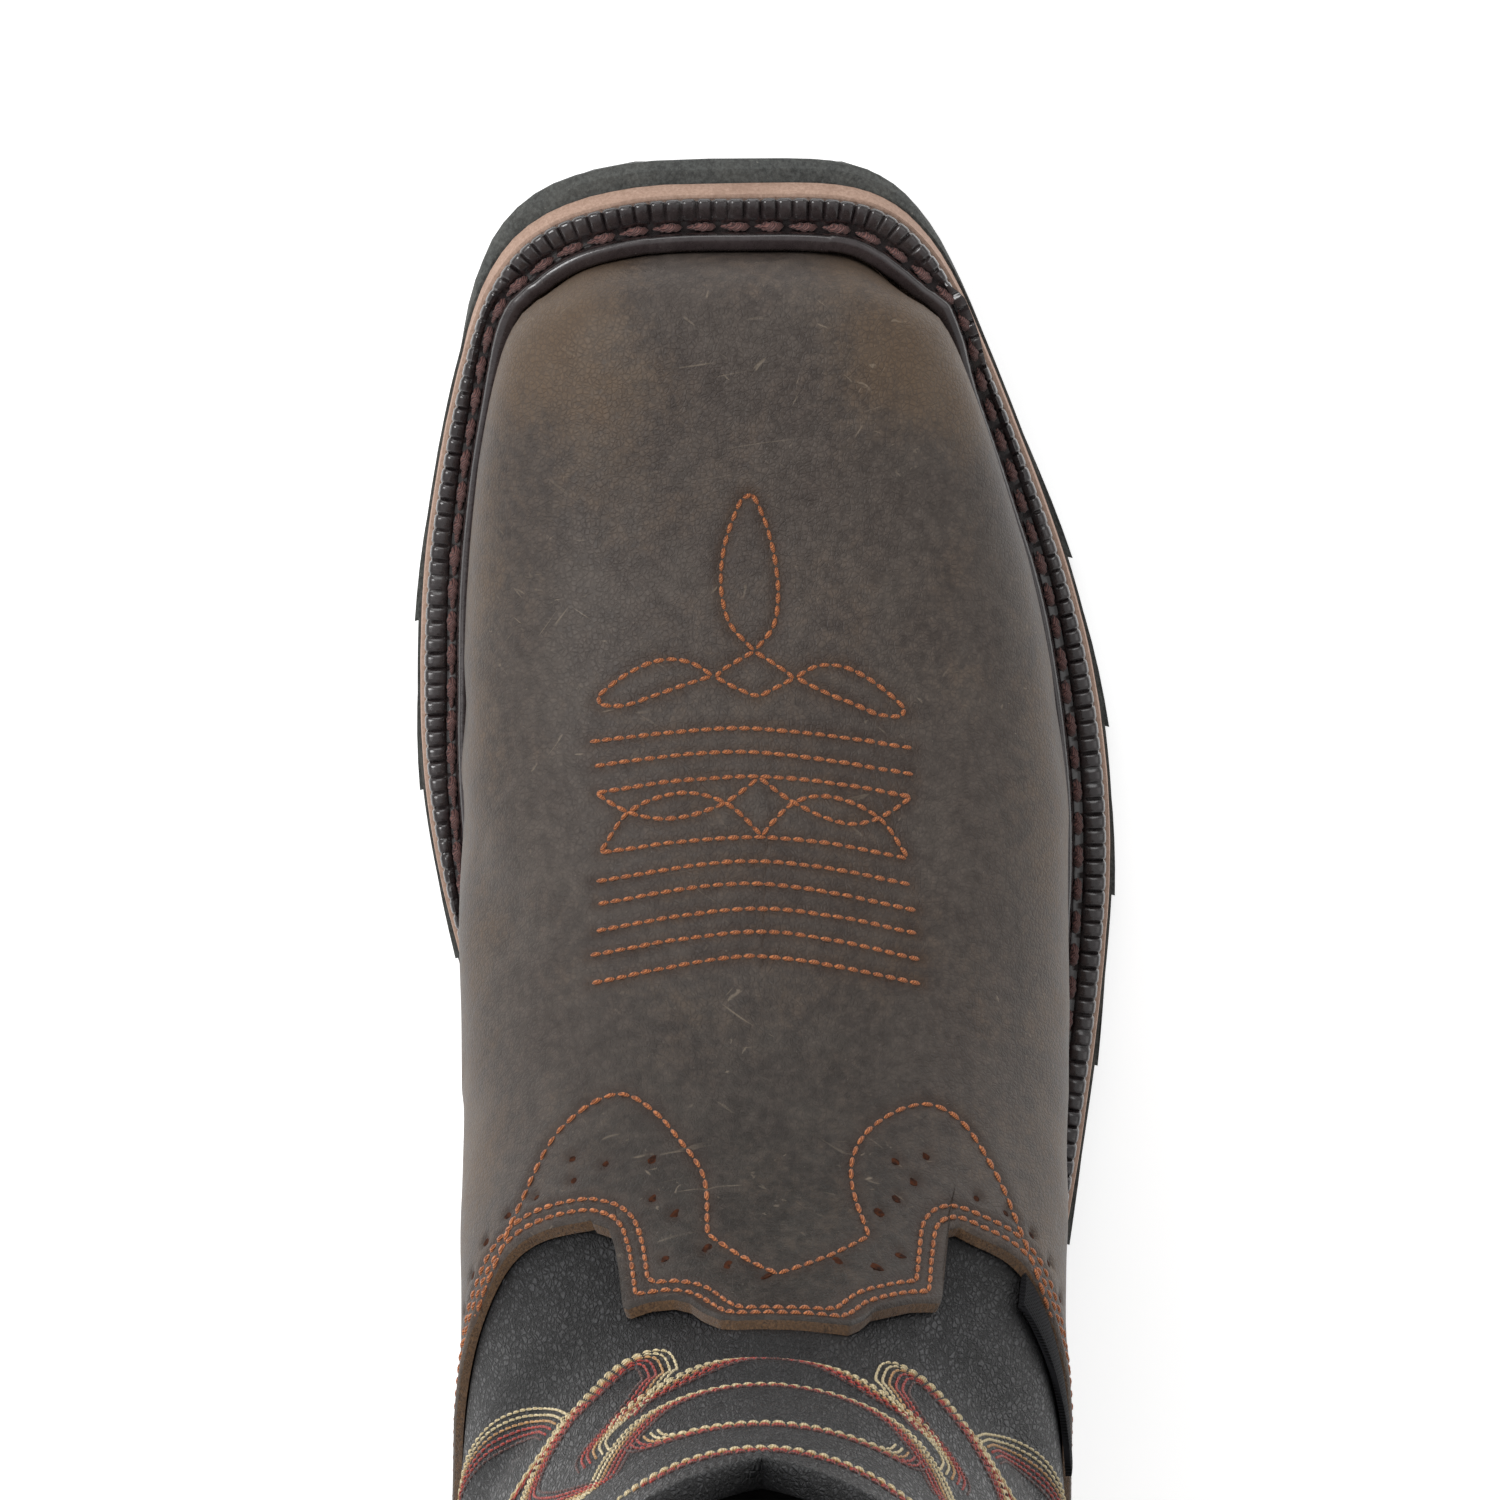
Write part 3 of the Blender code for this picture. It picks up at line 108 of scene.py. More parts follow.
# %% Tables of the last
OUTLINE = (
    (0.012, 0.155, 0.155), (0.045, 0.262, 0.262), (0.110, 0.328, 0.325), (0.200, 0.335, 0.338),
    (0.300, 0.312, 0.362), (0.400, 0.302, 0.412), (0.480, 0.327, 0.459), (0.560, 0.395, 0.495),
    (0.640, 0.459, 0.513), (0.700, 0.487, 0.505), (0.760, 0.492, 0.476), (0.820, 0.482, 0.424),
    (0.880, 0.453, 0.355), (0.930, 0.418, 0.293), (0.965, 0.381, 0.245), (0.985, 0.330, 0.206),
    (0.997, 0.215, 0.160),
)
FOOT_COLUMNS = (
    "base", "ridge", "rise", "medial", "lateral", "widest", "turn", "top_square", "side_bow", "ridge_side",
)
FOOT_SECTIONS = (
    (0.935, 1.0000, 0.000, 0.412, 0.288, 0.00, 1.00, 2.35, 2.0, 0.030),
    (0.930, 0.9985, 0.085, 0.420, 0.302, 0.18, 0.90, 2.50, 2.0, 0.030),
    (0.922, 0.9930, 0.165, 0.432, 0.318, 0.28, 0.84, 2.70, 2.0, 0.030),
    (0.910, 0.9800, 0.228, 0.448, 0.338, 0.32, 0.80, 2.80, 2.0, 0.030),
    (0.890, 0.9550, 0.275, 0.466, 0.367, 0.34, 0.77, 2.70, 2.0, 0.030),
    (0.855, 0.9120, 0.318, 0.486, 0.410, 0.35, 0.76, 2.60, 2.0, 0.030),
    (0.805, 0.8500, 0.365, 0.503, 0.462, 0.36, 0.75, 2.50, 2.0, 0.025),
    (0.745, 0.7750, 0.422, 0.511, 0.505, 0.36, 0.74, 2.40, 2.0, 0.020),
    (0.675, 0.7000, 0.495, 0.514, 0.532, 0.37, 0.73, 2.30, 2.0, 0.020),
    (0.600, 0.6300, 0.585, 0.514, 0.533, 0.40, 0.72, 2.20, 2.0, 0.020),
    (0.515, 0.5650, 0.690, 0.512, 0.529, 0.48, 0.68, 2.10, 1.7, 0.015),
    (0.420, 0.5150, 0.800, 0.506, 0.522, 0.55, 0.62, 2.05, 1.5, 0.010),
    (0.310, 0.4750, 0.920, 0.502, 0.514, 0.60, 0.57, 2.00, 1.4, 0.005),
    (0.190, 0.4520, 1.030, 0.516, 0.524, 0.62, 0.54, 2.00, 1.4, 0.000),
    (0.080, 0.4430, 1.110, 0.526, 0.530, 0.62, 0.53, 2.00, 1.5, 0.000),
    (0.000, 0.4380, 1.230, 0.528, 0.530, 0.60, 0.52, 2.00, 1.7, 0.000),
)
SHAFT_COLUMNS = ("back", "back_up", "front", "front_up", "medial", "lateral", "widest", "side_bow")
SHAFT_SECTIONS = (
    (-0.016, 0.217, 0.4370, 0.533, 0.500, 0.502, 0.57, 1.9),
    (-0.012, 0.303, 0.4380, 0.586, 0.497, 0.498, 0.54, 2.0),
    (0.002, 0.401, 0.4400, 0.641, 0.494, 0.494, 0.52, 2.0),
    (0.006, 0.510, 0.4420, 0.697, 0.492, 0.492, 0.50, 2.0),
    (0.000, 0.632, 0.4450, 0.763, 0.492, 0.492, 0.50, 2.0),
    (-0.012, 0.763, 0.4500, 0.836, 0.493, 0.493, 0.50, 2.0),
    (-0.022, 0.888, 0.4580, 0.914, 0.496, 0.496, 0.50, 2.0),
    (-0.030, 1.000, 0.4680, 1.000, 0.500, 0.500, 0.50, 2.0),
)
SHAFT_TURN, SHAFT_SQUARE = 0.50, 2.0
PATH_SHARES = (0.0, 0.10, 0.50, 0.80, 0.92)
PATH_RISES = (0.2, 0.2, 1.0, 1.2, 2.0)
PATH_BENDS = (4.0, 4.0, 4.0, 5.0, 8.0)
FRONT_SPREAD = 0.5
PATH_SAMPLES = 260
OUTLINE_SAMPLES = 1440

# %% Heights under the foot
def along(share):
    """X of a share of the last's length."""
    return HEEL_POINT_X + share * LAST_LENGTH


def smooth_step(value):
    value = np.clip(value, 0.0, 1.0)
    return value * value * (3 - 2 * value)


def ground(x):
    """Height of the tread plane: toe spring, flat ball, waist and heel seat."""
    toe = np.clip((x - along(FLAT_FRONT)) / (along(1.0) - along(FLAT_FRONT)), 0, 2)
    waist = (along(FLAT_BACK) - x) / (along(FLAT_BACK) - along(BREAST_SHARE))
    return TOE_SPRING * toe**2 + (HEEL_HEIGHT - LUG_DEPTH) * smooth_step(waist)


def sole_top(x):
    """Height of the midsole's upper face."""
    return ground(x) + LUG_DEPTH + OUTSOLE_THICKNESS + FIT_GAP + MIDSOLE_THICKNESS


# %% The bottom outline
def catmull_rom(points, closed, each=24):
    """A centripetal Catmull-Rom curve through a few points, densely sampled."""
    points = np.asarray(points, float)
    if not closed:
        points = np.vstack([2 * points[0] - points[1], points, 2 * points[-1] - points[-2]])
    count = len(points)
    curve = []
    for i in range(count if closed else count - 3):
        picks = [(i + k) % count for k in (-1, 0, 1, 2)] if closed else [i, i + 1, i + 2, i + 3]
        p0, p1, p2, p3 = (points[k] for k in picks)
        t1 = max(np.linalg.norm(p1 - p0), 1e-9) ** 0.5
        t2 = t1 + max(np.linalg.norm(p2 - p1), 1e-9) ** 0.5
        t3 = t2 + max(np.linalg.norm(p3 - p2), 1e-9) ** 0.5
        for t in np.linspace(t1, t2, each, endpoint=False):
            a1 = (t1 - t) / t1 * p0 + t / t1 * p1
            a2 = (t2 - t) / (t2 - t1) * p1 + (t - t1) / (t2 - t1) * p2
            a3 = (t3 - t) / (t3 - t2) * p2 + (t - t2) / (t3 - t2) * p3
            b1 = (t2 - t) / t2 * a1 + t / t2 * a2
            b2 = (t3 - t) / (t3 - t1) * a2 + (t - t1) / (t3 - t1) * a3
            curve.append((t2 - t) / (t2 - t1) * b1 + (t - t1) / (t2 - t1) * b2)
    curve.append(curve[0] if closed else points[-2])
    return np.array(curve)


def run_of(points):
    """Distance along a line of points."""
    return np.concatenate([[0], np.cumsum(np.linalg.norm(np.diff(points, axis=0), axis=1))])


def read_at(points, values, distances):
    """Values held by a line's points, read at distances along it."""
    run = run_of(points)
    return np.stack([np.interp(distances, run, values[:, k]) for k in range(values.shape[1])], axis=-1)


def bottom_outline():
    medial = [(along(a), m * BALL_WIDTH) for a, m, _ in OUTLINE]
    lateral = [(along(a), -w * BALL_WIDTH) for a, _, w in reversed(OUTLINE)]
    tip = [(along(1.0), TOE_TIP_SIDE * BALL_WIDTH)]
    curve = catmull_rom([(along(0.0), 0.0)] + medial + tip + lateral, closed=True)
    at = np.linspace(0, run_of(curve)[-1], OUTLINE_SAMPLES, endpoint=False)
    return read_at(curve, curve, at)


def outward(outline):
    run = np.roll(outline, -1, axis=0) - np.roll(outline, 1, axis=0)
    normal = np.stack([-run[:, 1], run[:, 0]], axis=1)
    return normal / np.linalg.norm(normal, axis=1)[:, None]


FEATHER = bottom_outline()
FEATHER_NORMAL = outward(FEATHER)
TOE_INDEX = int(np.argmax(FEATHER[:, 0]))


def reach_at(x):
    """How far the sole's edge stands out from the last."""
    share = (x - along(BREAST_SHARE)) / (along(0.42) - along(BREAST_SHARE))
    return HEEL_REACH + (SOLE_REACH - HEEL_REACH) * smooth_step(share)


def side_at(x, outline, side):
    """Y of an outline at X, on the medial (+1) or the lateral (-1) side."""
    tip, heel = int(np.argmax(outline[:, 0])), int(np.argmin(outline[:, 0]))
    order = np.roll(np.arange(len(outline)), -heel)
    turn = int(np.where(order == tip)[0][0])
    part = outline[order[: turn + 1]] if side > 0 else outline[order[turn:]][::-1]
    return np.interp(x, part[:, 0], part[:, 1])


print("outline girth %.0f mm" % (run_of(FEATHER)[-1] / MM))

# %% The leather's surface, read from the sections
def section_table():
    """Foot and shaft sections as one table in metres."""
    foot = {name: np.array([row[i] for row in FOOT_SECTIONS]) for i, name in enumerate(FOOT_COLUMNS)}
    shaft = {name: np.array([row[i] for row in SHAFT_SECTIONS]) for i, name in enumerate(SHAFT_COLUMNS)}
    ones = np.ones(len(SHAFT_SECTIONS))
    ridge_x = along(foot["ridge"])
    blend = smooth_step((np.arange(len(FOOT_SECTIONS)) - 10) / (len(FOOT_SECTIONS) - 11))
    width = BALL_WIDTH + (ANKLE_WIDTH - BALL_WIDTH) * blend
    pairs = {
        "base_x": (along(foot["base"]), along(shaft["back"])),
        "base_z": (sole_top(along(foot["base"])), shaft["back_up"] * SHAFT_TOP),
        "ridge_x": (ridge_x, along(shaft["front"])),
        "ridge_z": (sole_top(ridge_x) + foot["rise"] * INSTEP_RISE, shaft["front_up"] * SHAFT_TOP),
        "medial": (foot["medial"] * width, shaft["medial"] * SHAFT_WIDTH),
        "lateral": (foot["lateral"] * width, shaft["lateral"] * SHAFT_WIDTH),
        "widest": (foot["widest"], shaft["widest"]),
        "turn": (foot["turn"], SHAFT_TURN * ones),
        "square": (foot["top_square"], SHAFT_SQUARE * ones),
        "bow": (foot["side_bow"], shaft["side_bow"]),
        "ridge_y": (foot["ridge_side"] * BALL_WIDTH, 0 * ones),
    }
    return {name: np.concatenate(pair) for name, pair in pairs.items()}


SECTIONS = section_table()
LAST_FOOT_ROW = len(FOOT_SECTIONS) - 1
TOP_ROW = len(FOOT_SECTIONS) + len(SHAFT_SECTIONS) - 1


def smooth_read(values, row):
    """A column of the table between its rows, by a Catmull-Rom curve."""
    row = np.clip(row, 0, len(values) - 1)
    i = np.minimum(row.astype(int), len(values) - 2)
    t = row - i
    p0, p1, p2, p3 = (values[np.clip(i + k, 0, len(values) - 1)] for k in (-1, 0, 1, 2))
    square, cube = 2 * p0 - 5 * p1 + 4 * p2 - p3, 3 * p1 - p0 - 3 * p2 + p3
    return 0.5 * (2 * p1 + (p2 - p0) * t + square * t**2 + cube * t**3)


def last_point(row, turn):
    """Points of the boot's surface. row: section. turn: -1 lateral base, 0 ridge, 1 medial base."""
    row, turn = np.atleast_1d(row).astype(float), np.atleast_1d(turn).astype(float)
    at = {name: smooth_read(values, row) for name, values in SECTIONS.items()}
    side = np.where(turn >= 0, 1.0, -1.0)
    on_foot = row < LAST_FOOT_ROW
    base_x = np.where(on_foot, np.minimum(at["base_x"], along(1.0)), at["base_x"])
    base_z = np.where(on_foot, sole_top(base_x), at["base_z"])
    edge = np.abs(np.where(side > 0, side_at(base_x, FEATHER, 1), side_at(base_x, FEATHER, -1)))
    edge = np.where(on_foot, edge, 0.0)
    wide = np.maximum(np.where(side > 0, at["medial"], at["lateral"]), edge)
    split = np.minimum(at["turn"], 0.9999)
    above = np.abs(turn) <= split
    angle = np.clip(1 - np.abs(turn) / split, 0, 1) * math.pi / 2
    power = 2 / at["square"]
    shift = at["ridge_y"] * side
    top_y = shift + (wide - shift) * np.maximum(np.cos(angle), 0) ** power
    top_q = at["widest"] + (1 - at["widest"]) * np.sin(angle) ** power
    down = np.sin(np.clip((np.abs(turn) - split) / (1 - split), 0, 1) * math.pi / 2)
    low_y = np.sqrt(np.maximum(wide**2 - (wide**2 - edge**2) * down ** at["bow"], 0.0))
    y = np.where(above, top_y, low_y)
    q = np.where(above, top_q, at["widest"] * (1 - down))
    x = base_x + q * (at["ridge_x"] - base_x)
    return np.stack([x, side * y, base_z + q * (at["ridge_z"] - base_z)], axis=-1)


# %% Meridians, the lines up the leather from sole to collar
def feather_start(column):
    """Section row, turn and outline point where a meridian starts. column: -1..1, 0 at the toe."""
    side = 1 if column >= 0 else -1
    half = FEATHER[TOE_INDEX::-1] if side > 0 else np.concatenate([FEATHER[TOE_INDEX:], FEATHER[:1]])
    run = run_of(half)
    corner = np.interp(-SECTIONS["base_x"][0], -half[:, 0], run)
    distance = abs(column) * run[-1]
    point = np.array([np.interp(distance, run, half[:, k]) for k in (0, 1)])
    point = np.append(point, sole_top(point[0]))
    if distance < corner:
        turns = np.linspace(-1, 1, 181)
        front = last_point(np.zeros(181), turns)
        return 0.0, float(np.interp(point[1], front[:, 1], turns)), point
    rows = np.linspace(0, LAST_FOOT_ROW, 400)
    return float(np.interp(-point[0], -smooth_read(SECTIONS["base_x"], rows), rows)), float(side), point


def collar_turn(column):
    share = abs(column)
    return math.copysign(FRONT_SPREAD * share + (1 - FRONT_SPREAD) * share**3, column)


def meridian(column):
    """Points up the outer surface, from the last's edge at the sole to the top section."""
    row, turn, start = feather_start(column)
    up = np.linspace(0, 1, PATH_SAMPLES)
    share, goal = abs(column), collar_turn(column)
    rise = 1 + float(np.interp(share, PATH_SHARES, PATH_RISES))
    bend = float(np.interp(share, PATH_SHARES, PATH_BENDS))
    path = last_point(row + (TOP_ROW - row) * up**rise, goal + (turn - goal) * (1 - up) ** bend)
    path[:, :2] += (start - path[0])[:2] * (1 - up[:, None]) ** 12
    path[0] = start
    path[:, 2] += FIT_GAP
    return path


def reach_height(path, height):
    """Distance up a meridian at which it first reaches a height."""
    run = run_of(path)
    above = int(np.argmax(path[:, 2] >= height))
    if above == 0:
        return run[-1]
    share = (height - path[above - 1, 2]) / (path[above, 2] - path[above - 1, 2])
    return run[above - 1] + share * (run[above] - run[above - 1])


def collar_height(column):
    """The collar dips at front and back and is highest at the sides."""
    return SHAFT_TOP - COLLAR_DIP * (1 - abs(math.sin(math.pi * collar_turn(column)))) ** COLLAR_CURVE


# %% [markdown]
# ## The cut edge of the brown leather
# The vamp ends in a tongue with two notches, cut by a die. On the boot it is one line, so here it
# is one short table across the tongue, in millimetres, and a gentle sweep beside it. Each meridian
# stops where it first meets that line. Cutting with a Boolean would leave ragged long faces.

# %% Where the brown leather stops
TONGUE_EDGE = (
    (-31.8, 96.8), (-29.9, 98.5), (-29.2, 101.5), (-28.9, 106.5), (-28.8, 112.8), (-27.9, 114.0),
    (-24.0, 117.0), (-21.1, 119.8), (-17.6, 123.2), (-15.9, 127.2), (-13.9, 130.6), (-10.0, 131.8),
    (-2.9, 133.0), (3.5, 133.0), (6.3, 131.8), (8.8, 128.2), (11.0, 124.0), (13.5, 121.9),
    (17.5, 120.6), (20.7, 120.4), (21.5, 119.4), (21.9, 114.0), (22.7, 107.0), (24.0, 101.8),
    (26.6, 99.4),
)
NOTCH_TOP = {1: 0.0994, -1: 0.0968}
VAMP_SIDE_TOP = 0.092
COUNTER_BACK_TOP = 0.116
SIDE_SEAM_AT = 0.69
NOTCH_END = 0.50
NOTCH_SHARES = {1: 0.2476, -1: 0.3301}


def side_top(column):
    """Height of the brown leather's top edge beside the tongue: notch, side and counter."""
    share = abs(column)
    side = 1 if column >= 0 else -1
    edge, notch = NOTCH_SHARES[side], NOTCH_TOP[side]
    fall = float(smooth_step((share - edge) / (NOTCH_END - edge)))
    back = float(smooth_step((share - SIDE_SEAM_AT) / (1 - SIDE_SEAM_AT)))
    sweep = VAMP_SIDE_TOP + (COUNTER_BACK_TOP - VAMP_SIDE_TOP) * back
    return notch + (sweep - notch) * fall


def leather_end(column, path):
    """Distance up a meridian to the brown leather's cut edge."""
    across, height = np.array(TONGUE_EDGE).T * MM
    limit = np.interp(path[:, 1], across, height)
    beside = (path[:, 1] < across[0]) | (path[:, 1] > across[-1]) | (abs(column) > NOTCH_END)
    limit = np.where(beside, side_top(column), limit)
    over = path[:, 2] - limit
    hit = int(np.argmax((over >= 0) & (path[:, 2] > 0.080)))
    share = over[hit - 1] / (over[hit - 1] - over[hit])
    run = run_of(path)
    return run[hit - 1] + share * (run[hit] - run[hit - 1])


# %% Grids of surface points
def turned(column, step):
    """A meridian a step further on, counted on past the heel."""
    moved = column + step
    return moved - 2 if moved > 1 else moved + 2 if moved < -1 else moved


def grid_over(shares, stops_of, step=0.003):
    """Surface points and unit normals in rows up each meridian. stops_of gives its row distances."""
    columns, facings = [], []
    for column in shares:
        path = meridian(column)
        around = meridian(turned(column, step)) - meridian(turned(column, -step))
        facing = np.cross(around, np.gradient(path, axis=0))
        facing /= np.linalg.norm(facing, axis=1)[:, None]
        facing[0] = *FEATHER_NORMAL[np.argmin(np.linalg.norm(FEATHER - path[0, :2], axis=1))], 0
        stops = stops_of(column, path)
        columns.append(read_at(path, path, stops))
        facings.append(read_at(path, facing, stops))
    normals = np.array(facings).transpose(1, 0, 2)
    return np.array(columns).transpose(1, 0, 2), normals / np.linalg.norm(normals, axis=2)[..., None]


def add_object(name, data):
    """A new object in the scene."""
    obj = bpy.data.objects.new(name, data)
    bpy.context.scene.collection.objects.link(obj)
    return obj


def make_mesh(name, points, faces, materials, picks=None, angle=50):
    """An object from points and faces. picks: each face's material number."""
    mesh = bpy.data.meshes.new(name)
    mesh.from_pydata(np.asarray(points).tolist(), [], [list(f) for f in faces])
    for material in materials:
        mesh.materials.append(material)
    if picks is not None:
        mesh.polygons.foreach_set("material_index", np.asarray(picks, np.int32))
    work = bmesh.new()
    work.from_mesh(mesh)
    bmesh.ops.recalc_face_normals(work, faces=work.faces)
    work.to_mesh(mesh)
    work.free()
    mesh.shade_smooth()
    mesh.set_sharp_from_angle(angle=math.radians(angle))
    return add_object(name, mesh)


def grid_faces(rows, columns, start=0, ring=False, flip=False):
    """Quads between neighbouring points of a grid whose numbering starts at start."""
    i, j = np.meshgrid(np.arange(rows - 1), np.arange(columns if ring else columns - 1), indexing="ij")
    k = (j + 1) % columns
    low, high = i * columns, (i + 1) * columns
    quads = np.stack([low + j, high + j, high + k, low + k], axis=-1)
    quads = quads.reshape(-1, 4) + start
    return quads[:, ::-1] if flip else quads


def wall_between(name, outer, inner, materials, ring, rim=1, back=1):
    """A closed wall of an outer and an inner grid with the same columns. rim, back: material numbers."""
    rows, columns = outer.shape[:2]
    low = inner.shape[0]
    points = np.concatenate([outer.reshape(-1, 3), inner.reshape(-1, 3)])
    shift = rows * columns
    parts = [grid_faces(rows, columns, ring=ring), grid_faces(low, columns, shift, ring=ring, flip=True)]
    picks = [np.zeros(len(parts[0])), np.full(len(parts[1]), back)]
    j = np.arange(columns if ring else columns - 1)
    k = (j + 1) % columns
    top, top_in = (rows - 1) * columns, shift + (low - 1) * columns
    parts.append(np.stack([top + j, top_in + j, top_in + k, top + k], axis=1))
    parts.append(np.stack([j, k, shift + k, shift + j], axis=1))
    picks += [np.full(len(j), rim), np.zeros(len(j))]
    faces = [tuple(f) for part in parts for f in part.tolist()]
    picks = list(np.concatenate(picks))
    if not ring:
        for j, backwards in ((0, False), (columns - 1, True)):
            out_line = [i * columns + j for i in range(rows)]
            in_line = [shift + i * columns + j for i in range(low)]
            loop = out_line + in_line[::-1]
            faces.append(tuple(loop[::-1] if backwards else loop))
            picks.append(rim)
    return make_mesh(name, points, faces, materials, picks)

# %% [markdown]
# ## Surface tools for leather
# Leather isn't flat between its seams. A seam pulls a shallow valley, a walking fold leaves soft
# troughs, and grain sits on top of both. The valleys are real vertex moves, so they show from any
# side. The grain is far too fine for vertices and is left to bump in the material.

# %% Noise, valleys and folds
def value_noise(points, scale, seed=0):
    """Smooth noise from -1 to 1 at points. scale: size of its lumps in metres."""
    q = points / scale + seed * 17.31
    base = np.floor(q).astype(np.int64)
    f = q - base
    f = f * f * (3 - 2 * f)
    total = np.zeros(len(points))
    for corner in range(8):
        step = np.array([corner & 1, corner >> 1 & 1, corner >> 2 & 1])
        cell = base + step
        key = cell[:, 0] * 73856093 ^ cell[:, 1] * 19349663 ^ cell[:, 2] * 83492791 ^ (seed + 1) * 2654435761
        key = (key ^ key >> 13) * 1274126177
        value = ((key ^ key >> 16) & 0xFFFF) / 32767.5 - 1
        weight = np.prod(np.where(step, f, 1 - f), axis=1)
        total += weight * value
    return total


def near_line(points, line, reach):
    """Distance of each point to a dense line of points, cut off at reach."""
    tree = KDTree(len(line))
    for i, p in enumerate(line):
        tree.insert(p, i)
    tree.balance()
    low, high = line.min(axis=0) - reach, line.max(axis=0) + reach
    away = np.full(len(points), reach)
    for i in np.nonzero(((points > low) & (points < high)).all(axis=1))[0]:
        away[i] = min(reach, tree.find(points[i])[2])
    return away


def folds(points, creases):
    """Height of listed folds. creases: rows of (x, y, z, x, y, z, half-width, depth)."""
    height = np.zeros(len(points))
    for row in creases:
        a, b, width, depth = np.array(row[0:3]), np.array(row[3:6]), row[6], row[7]
        run = b - a
        t = np.clip(((points - a) @ run) / (run @ run), 0, 1)
        bow = value_noise(points, 0.030, 5)[:, None] * np.array([0.0025, 0.0, 0.0025])
        away = np.linalg.norm(points + bow - (a + t[:, None] * run), axis=1) / width
        ends = np.clip(4 * t * (1 - t), 0, 1) ** 0.5
        height -= depth * ends * (np.exp(-(away**2)) - 0.55 * np.exp(-((away - 1.9) ** 2)))
    return height


def add_value(obj, name, values):
    """A value at each vertex, for the material to read. Vertices past the last value get 0."""
    values = np.append(values, np.zeros(len(obj.data.vertices) - len(values)))
    obj.data.attributes.new(name, "FLOAT", "POINT").data.foreach_set("value", values.astype(np.float32))


def row_numbers(grid):
    """Each point's row in a grid, as one list."""
    return np.repeat(np.arange(len(grid), dtype=float), grid.shape[1])


def moved_out(grid, normals, distance):
    """A grid with its points moved along their normals, by one distance for each."""
    return grid + normals * distance.reshape(grid.shape[:2])[..., None]


# %% Trees to drop threads on the leather
SEAM_STEP = 0.0005


def surface_tree(grids):
    """One tree for rays against several grids of points."""
    points, faces, count = [], [], 0
    for grid in grids:
        points.append(grid.reshape(-1, 3))
        faces.append(grid_faces(*grid.shape[:2], start=count))
        count += grid.shape[0] * grid.shape[1]
    return BVHTree.FromPolygons(np.concatenate(points).tolist(), np.concatenate(faces).tolist())


def drop(tree, xy, top=0.20):
    """Points of the surface straight under plan points, with their normals."""
    found = []
    for x, y in xy:
        hit, normal, _, _ = tree.ray_cast(Vector((x, y, top)), Vector((0, 0, -1)))
        if hit is not None:
            found.append((*hit, *(normal if normal.z > 0 else -normal)))
    found = np.array(found)
    return found[:, :3], found[:, 3:]


def settle(tree, points):
    """The nearest points of the surface, with their normals."""
    found = []
    for p in points:
        hit, normal, _, _ = tree.find_nearest(Vector(p))
        found.append((*hit, *normal))
    found = np.array(found)
    return found[:, :3], found[:, 3:]


def evenly(line, step=SEAM_STEP):
    """A line read again at equal steps."""
    return read_at(line, line, np.arange(0, run_of(line)[-1], step))


def smooth_line(line, passes):
    for _ in range(passes):
        line = line.copy()
        line[1:-1] = (line[:-2] + 2 * line[1:-1] + line[2:]) / 4
    return line


# %% [markdown]
# ## Thread
# A stitch is a short length of waxed thread that dives into the leather at both ends. It could be
# a dashed line in the material, but it would have no height at the edge of a panel. Here every
# stitch is a small closed capsule, bent over the surface, and a whole seam is joined as one piece.

# %% Stitches
STITCH_PITCH, THREAD_RADIUS = 0.00215, 0.00040


def capsules(starts, ends, normals, radius, sink=0.45, sides=6, rings=5, lift=0.35, jitter=0.05, ply=0.0):
    """Closed capsules between pairs of points, their ends sunk into the surface."""
    count = len(starts)
    wobble = rng.normal(0, jitter * radius, (count, 1))
    run = ends - starts
    length = np.linalg.norm(run, axis=1, keepdims=True)
    run = run / length
    normals = normals - (normals * run).sum(axis=1, keepdims=True) * run
    normals /= np.linalg.norm(normals, axis=1, keepdims=True)
    side = np.cross(run, normals)
    t = np.linspace(0, 1, rings)
    arch = np.sin(np.pi * t) ** 0.6
    thick = 0.55 + 0.45 * np.sin(np.pi * t) ** 0.5
    middle = starts[:, None] + (run * length)[:, None] * t[None, :, None]
    height = radius * (lift + sink) * arch - radius * sink
    bow = side[:, None] * (wobble[:, None] * arch[None, :, None])
    middle = middle + normals[:, None] * height[None, :, None] + bow
    around = np.linspace(0, 2 * np.pi, sides, endpoint=False)
    size = radius * (1 + rng.normal(0, 0.06, (count, 1, 1, 1)))
    across, upward = np.cos(around)[:, None], np.sin(around)[:, None]
    ring = across * side[:, None, None] + upward * normals[:, None, None]
    strands = 1 + ply * np.cos(3 * around[None, :] - 5.0 * np.pi * t[:, None])
    tube = middle[:, :, None] + ring * size * (thick[:, None] * strands)[None, :, :, None]
    cap_a = middle[:, 0] - run * radius * 0.5
    cap_b = middle[:, -1] + run * radius * 0.5
    points = np.concatenate([tube.reshape(count, -1, 3), cap_a[:, None], cap_b[:, None]], axis=1)
    faces = []
    for i in range(rings - 1):
        for j in range(sides):
            k = (j + 1) % sides
            faces.append((i * sides + j, i * sides + k, (i + 1) * sides + k, (i + 1) * sides + j))
    low, high = rings * sides, rings * sides + 1
    last = (rings - 1) * sides
    caps = [(low, (j + 1) % sides, j) for j in range(sides)]
    caps += [(high, last + j, last + (j + 1) % sides) for j in range(sides)]
    each = points.shape[1]
    quads = (np.array(faces)[None] + np.arange(count)[:, None, None] * each).reshape(-1, 4).tolist()
    tris = (np.array(caps)[None] + np.arange(count)[:, None, None] * each).reshape(-1, 3).tolist()
    return points.reshape(-1, 3), quads + tris


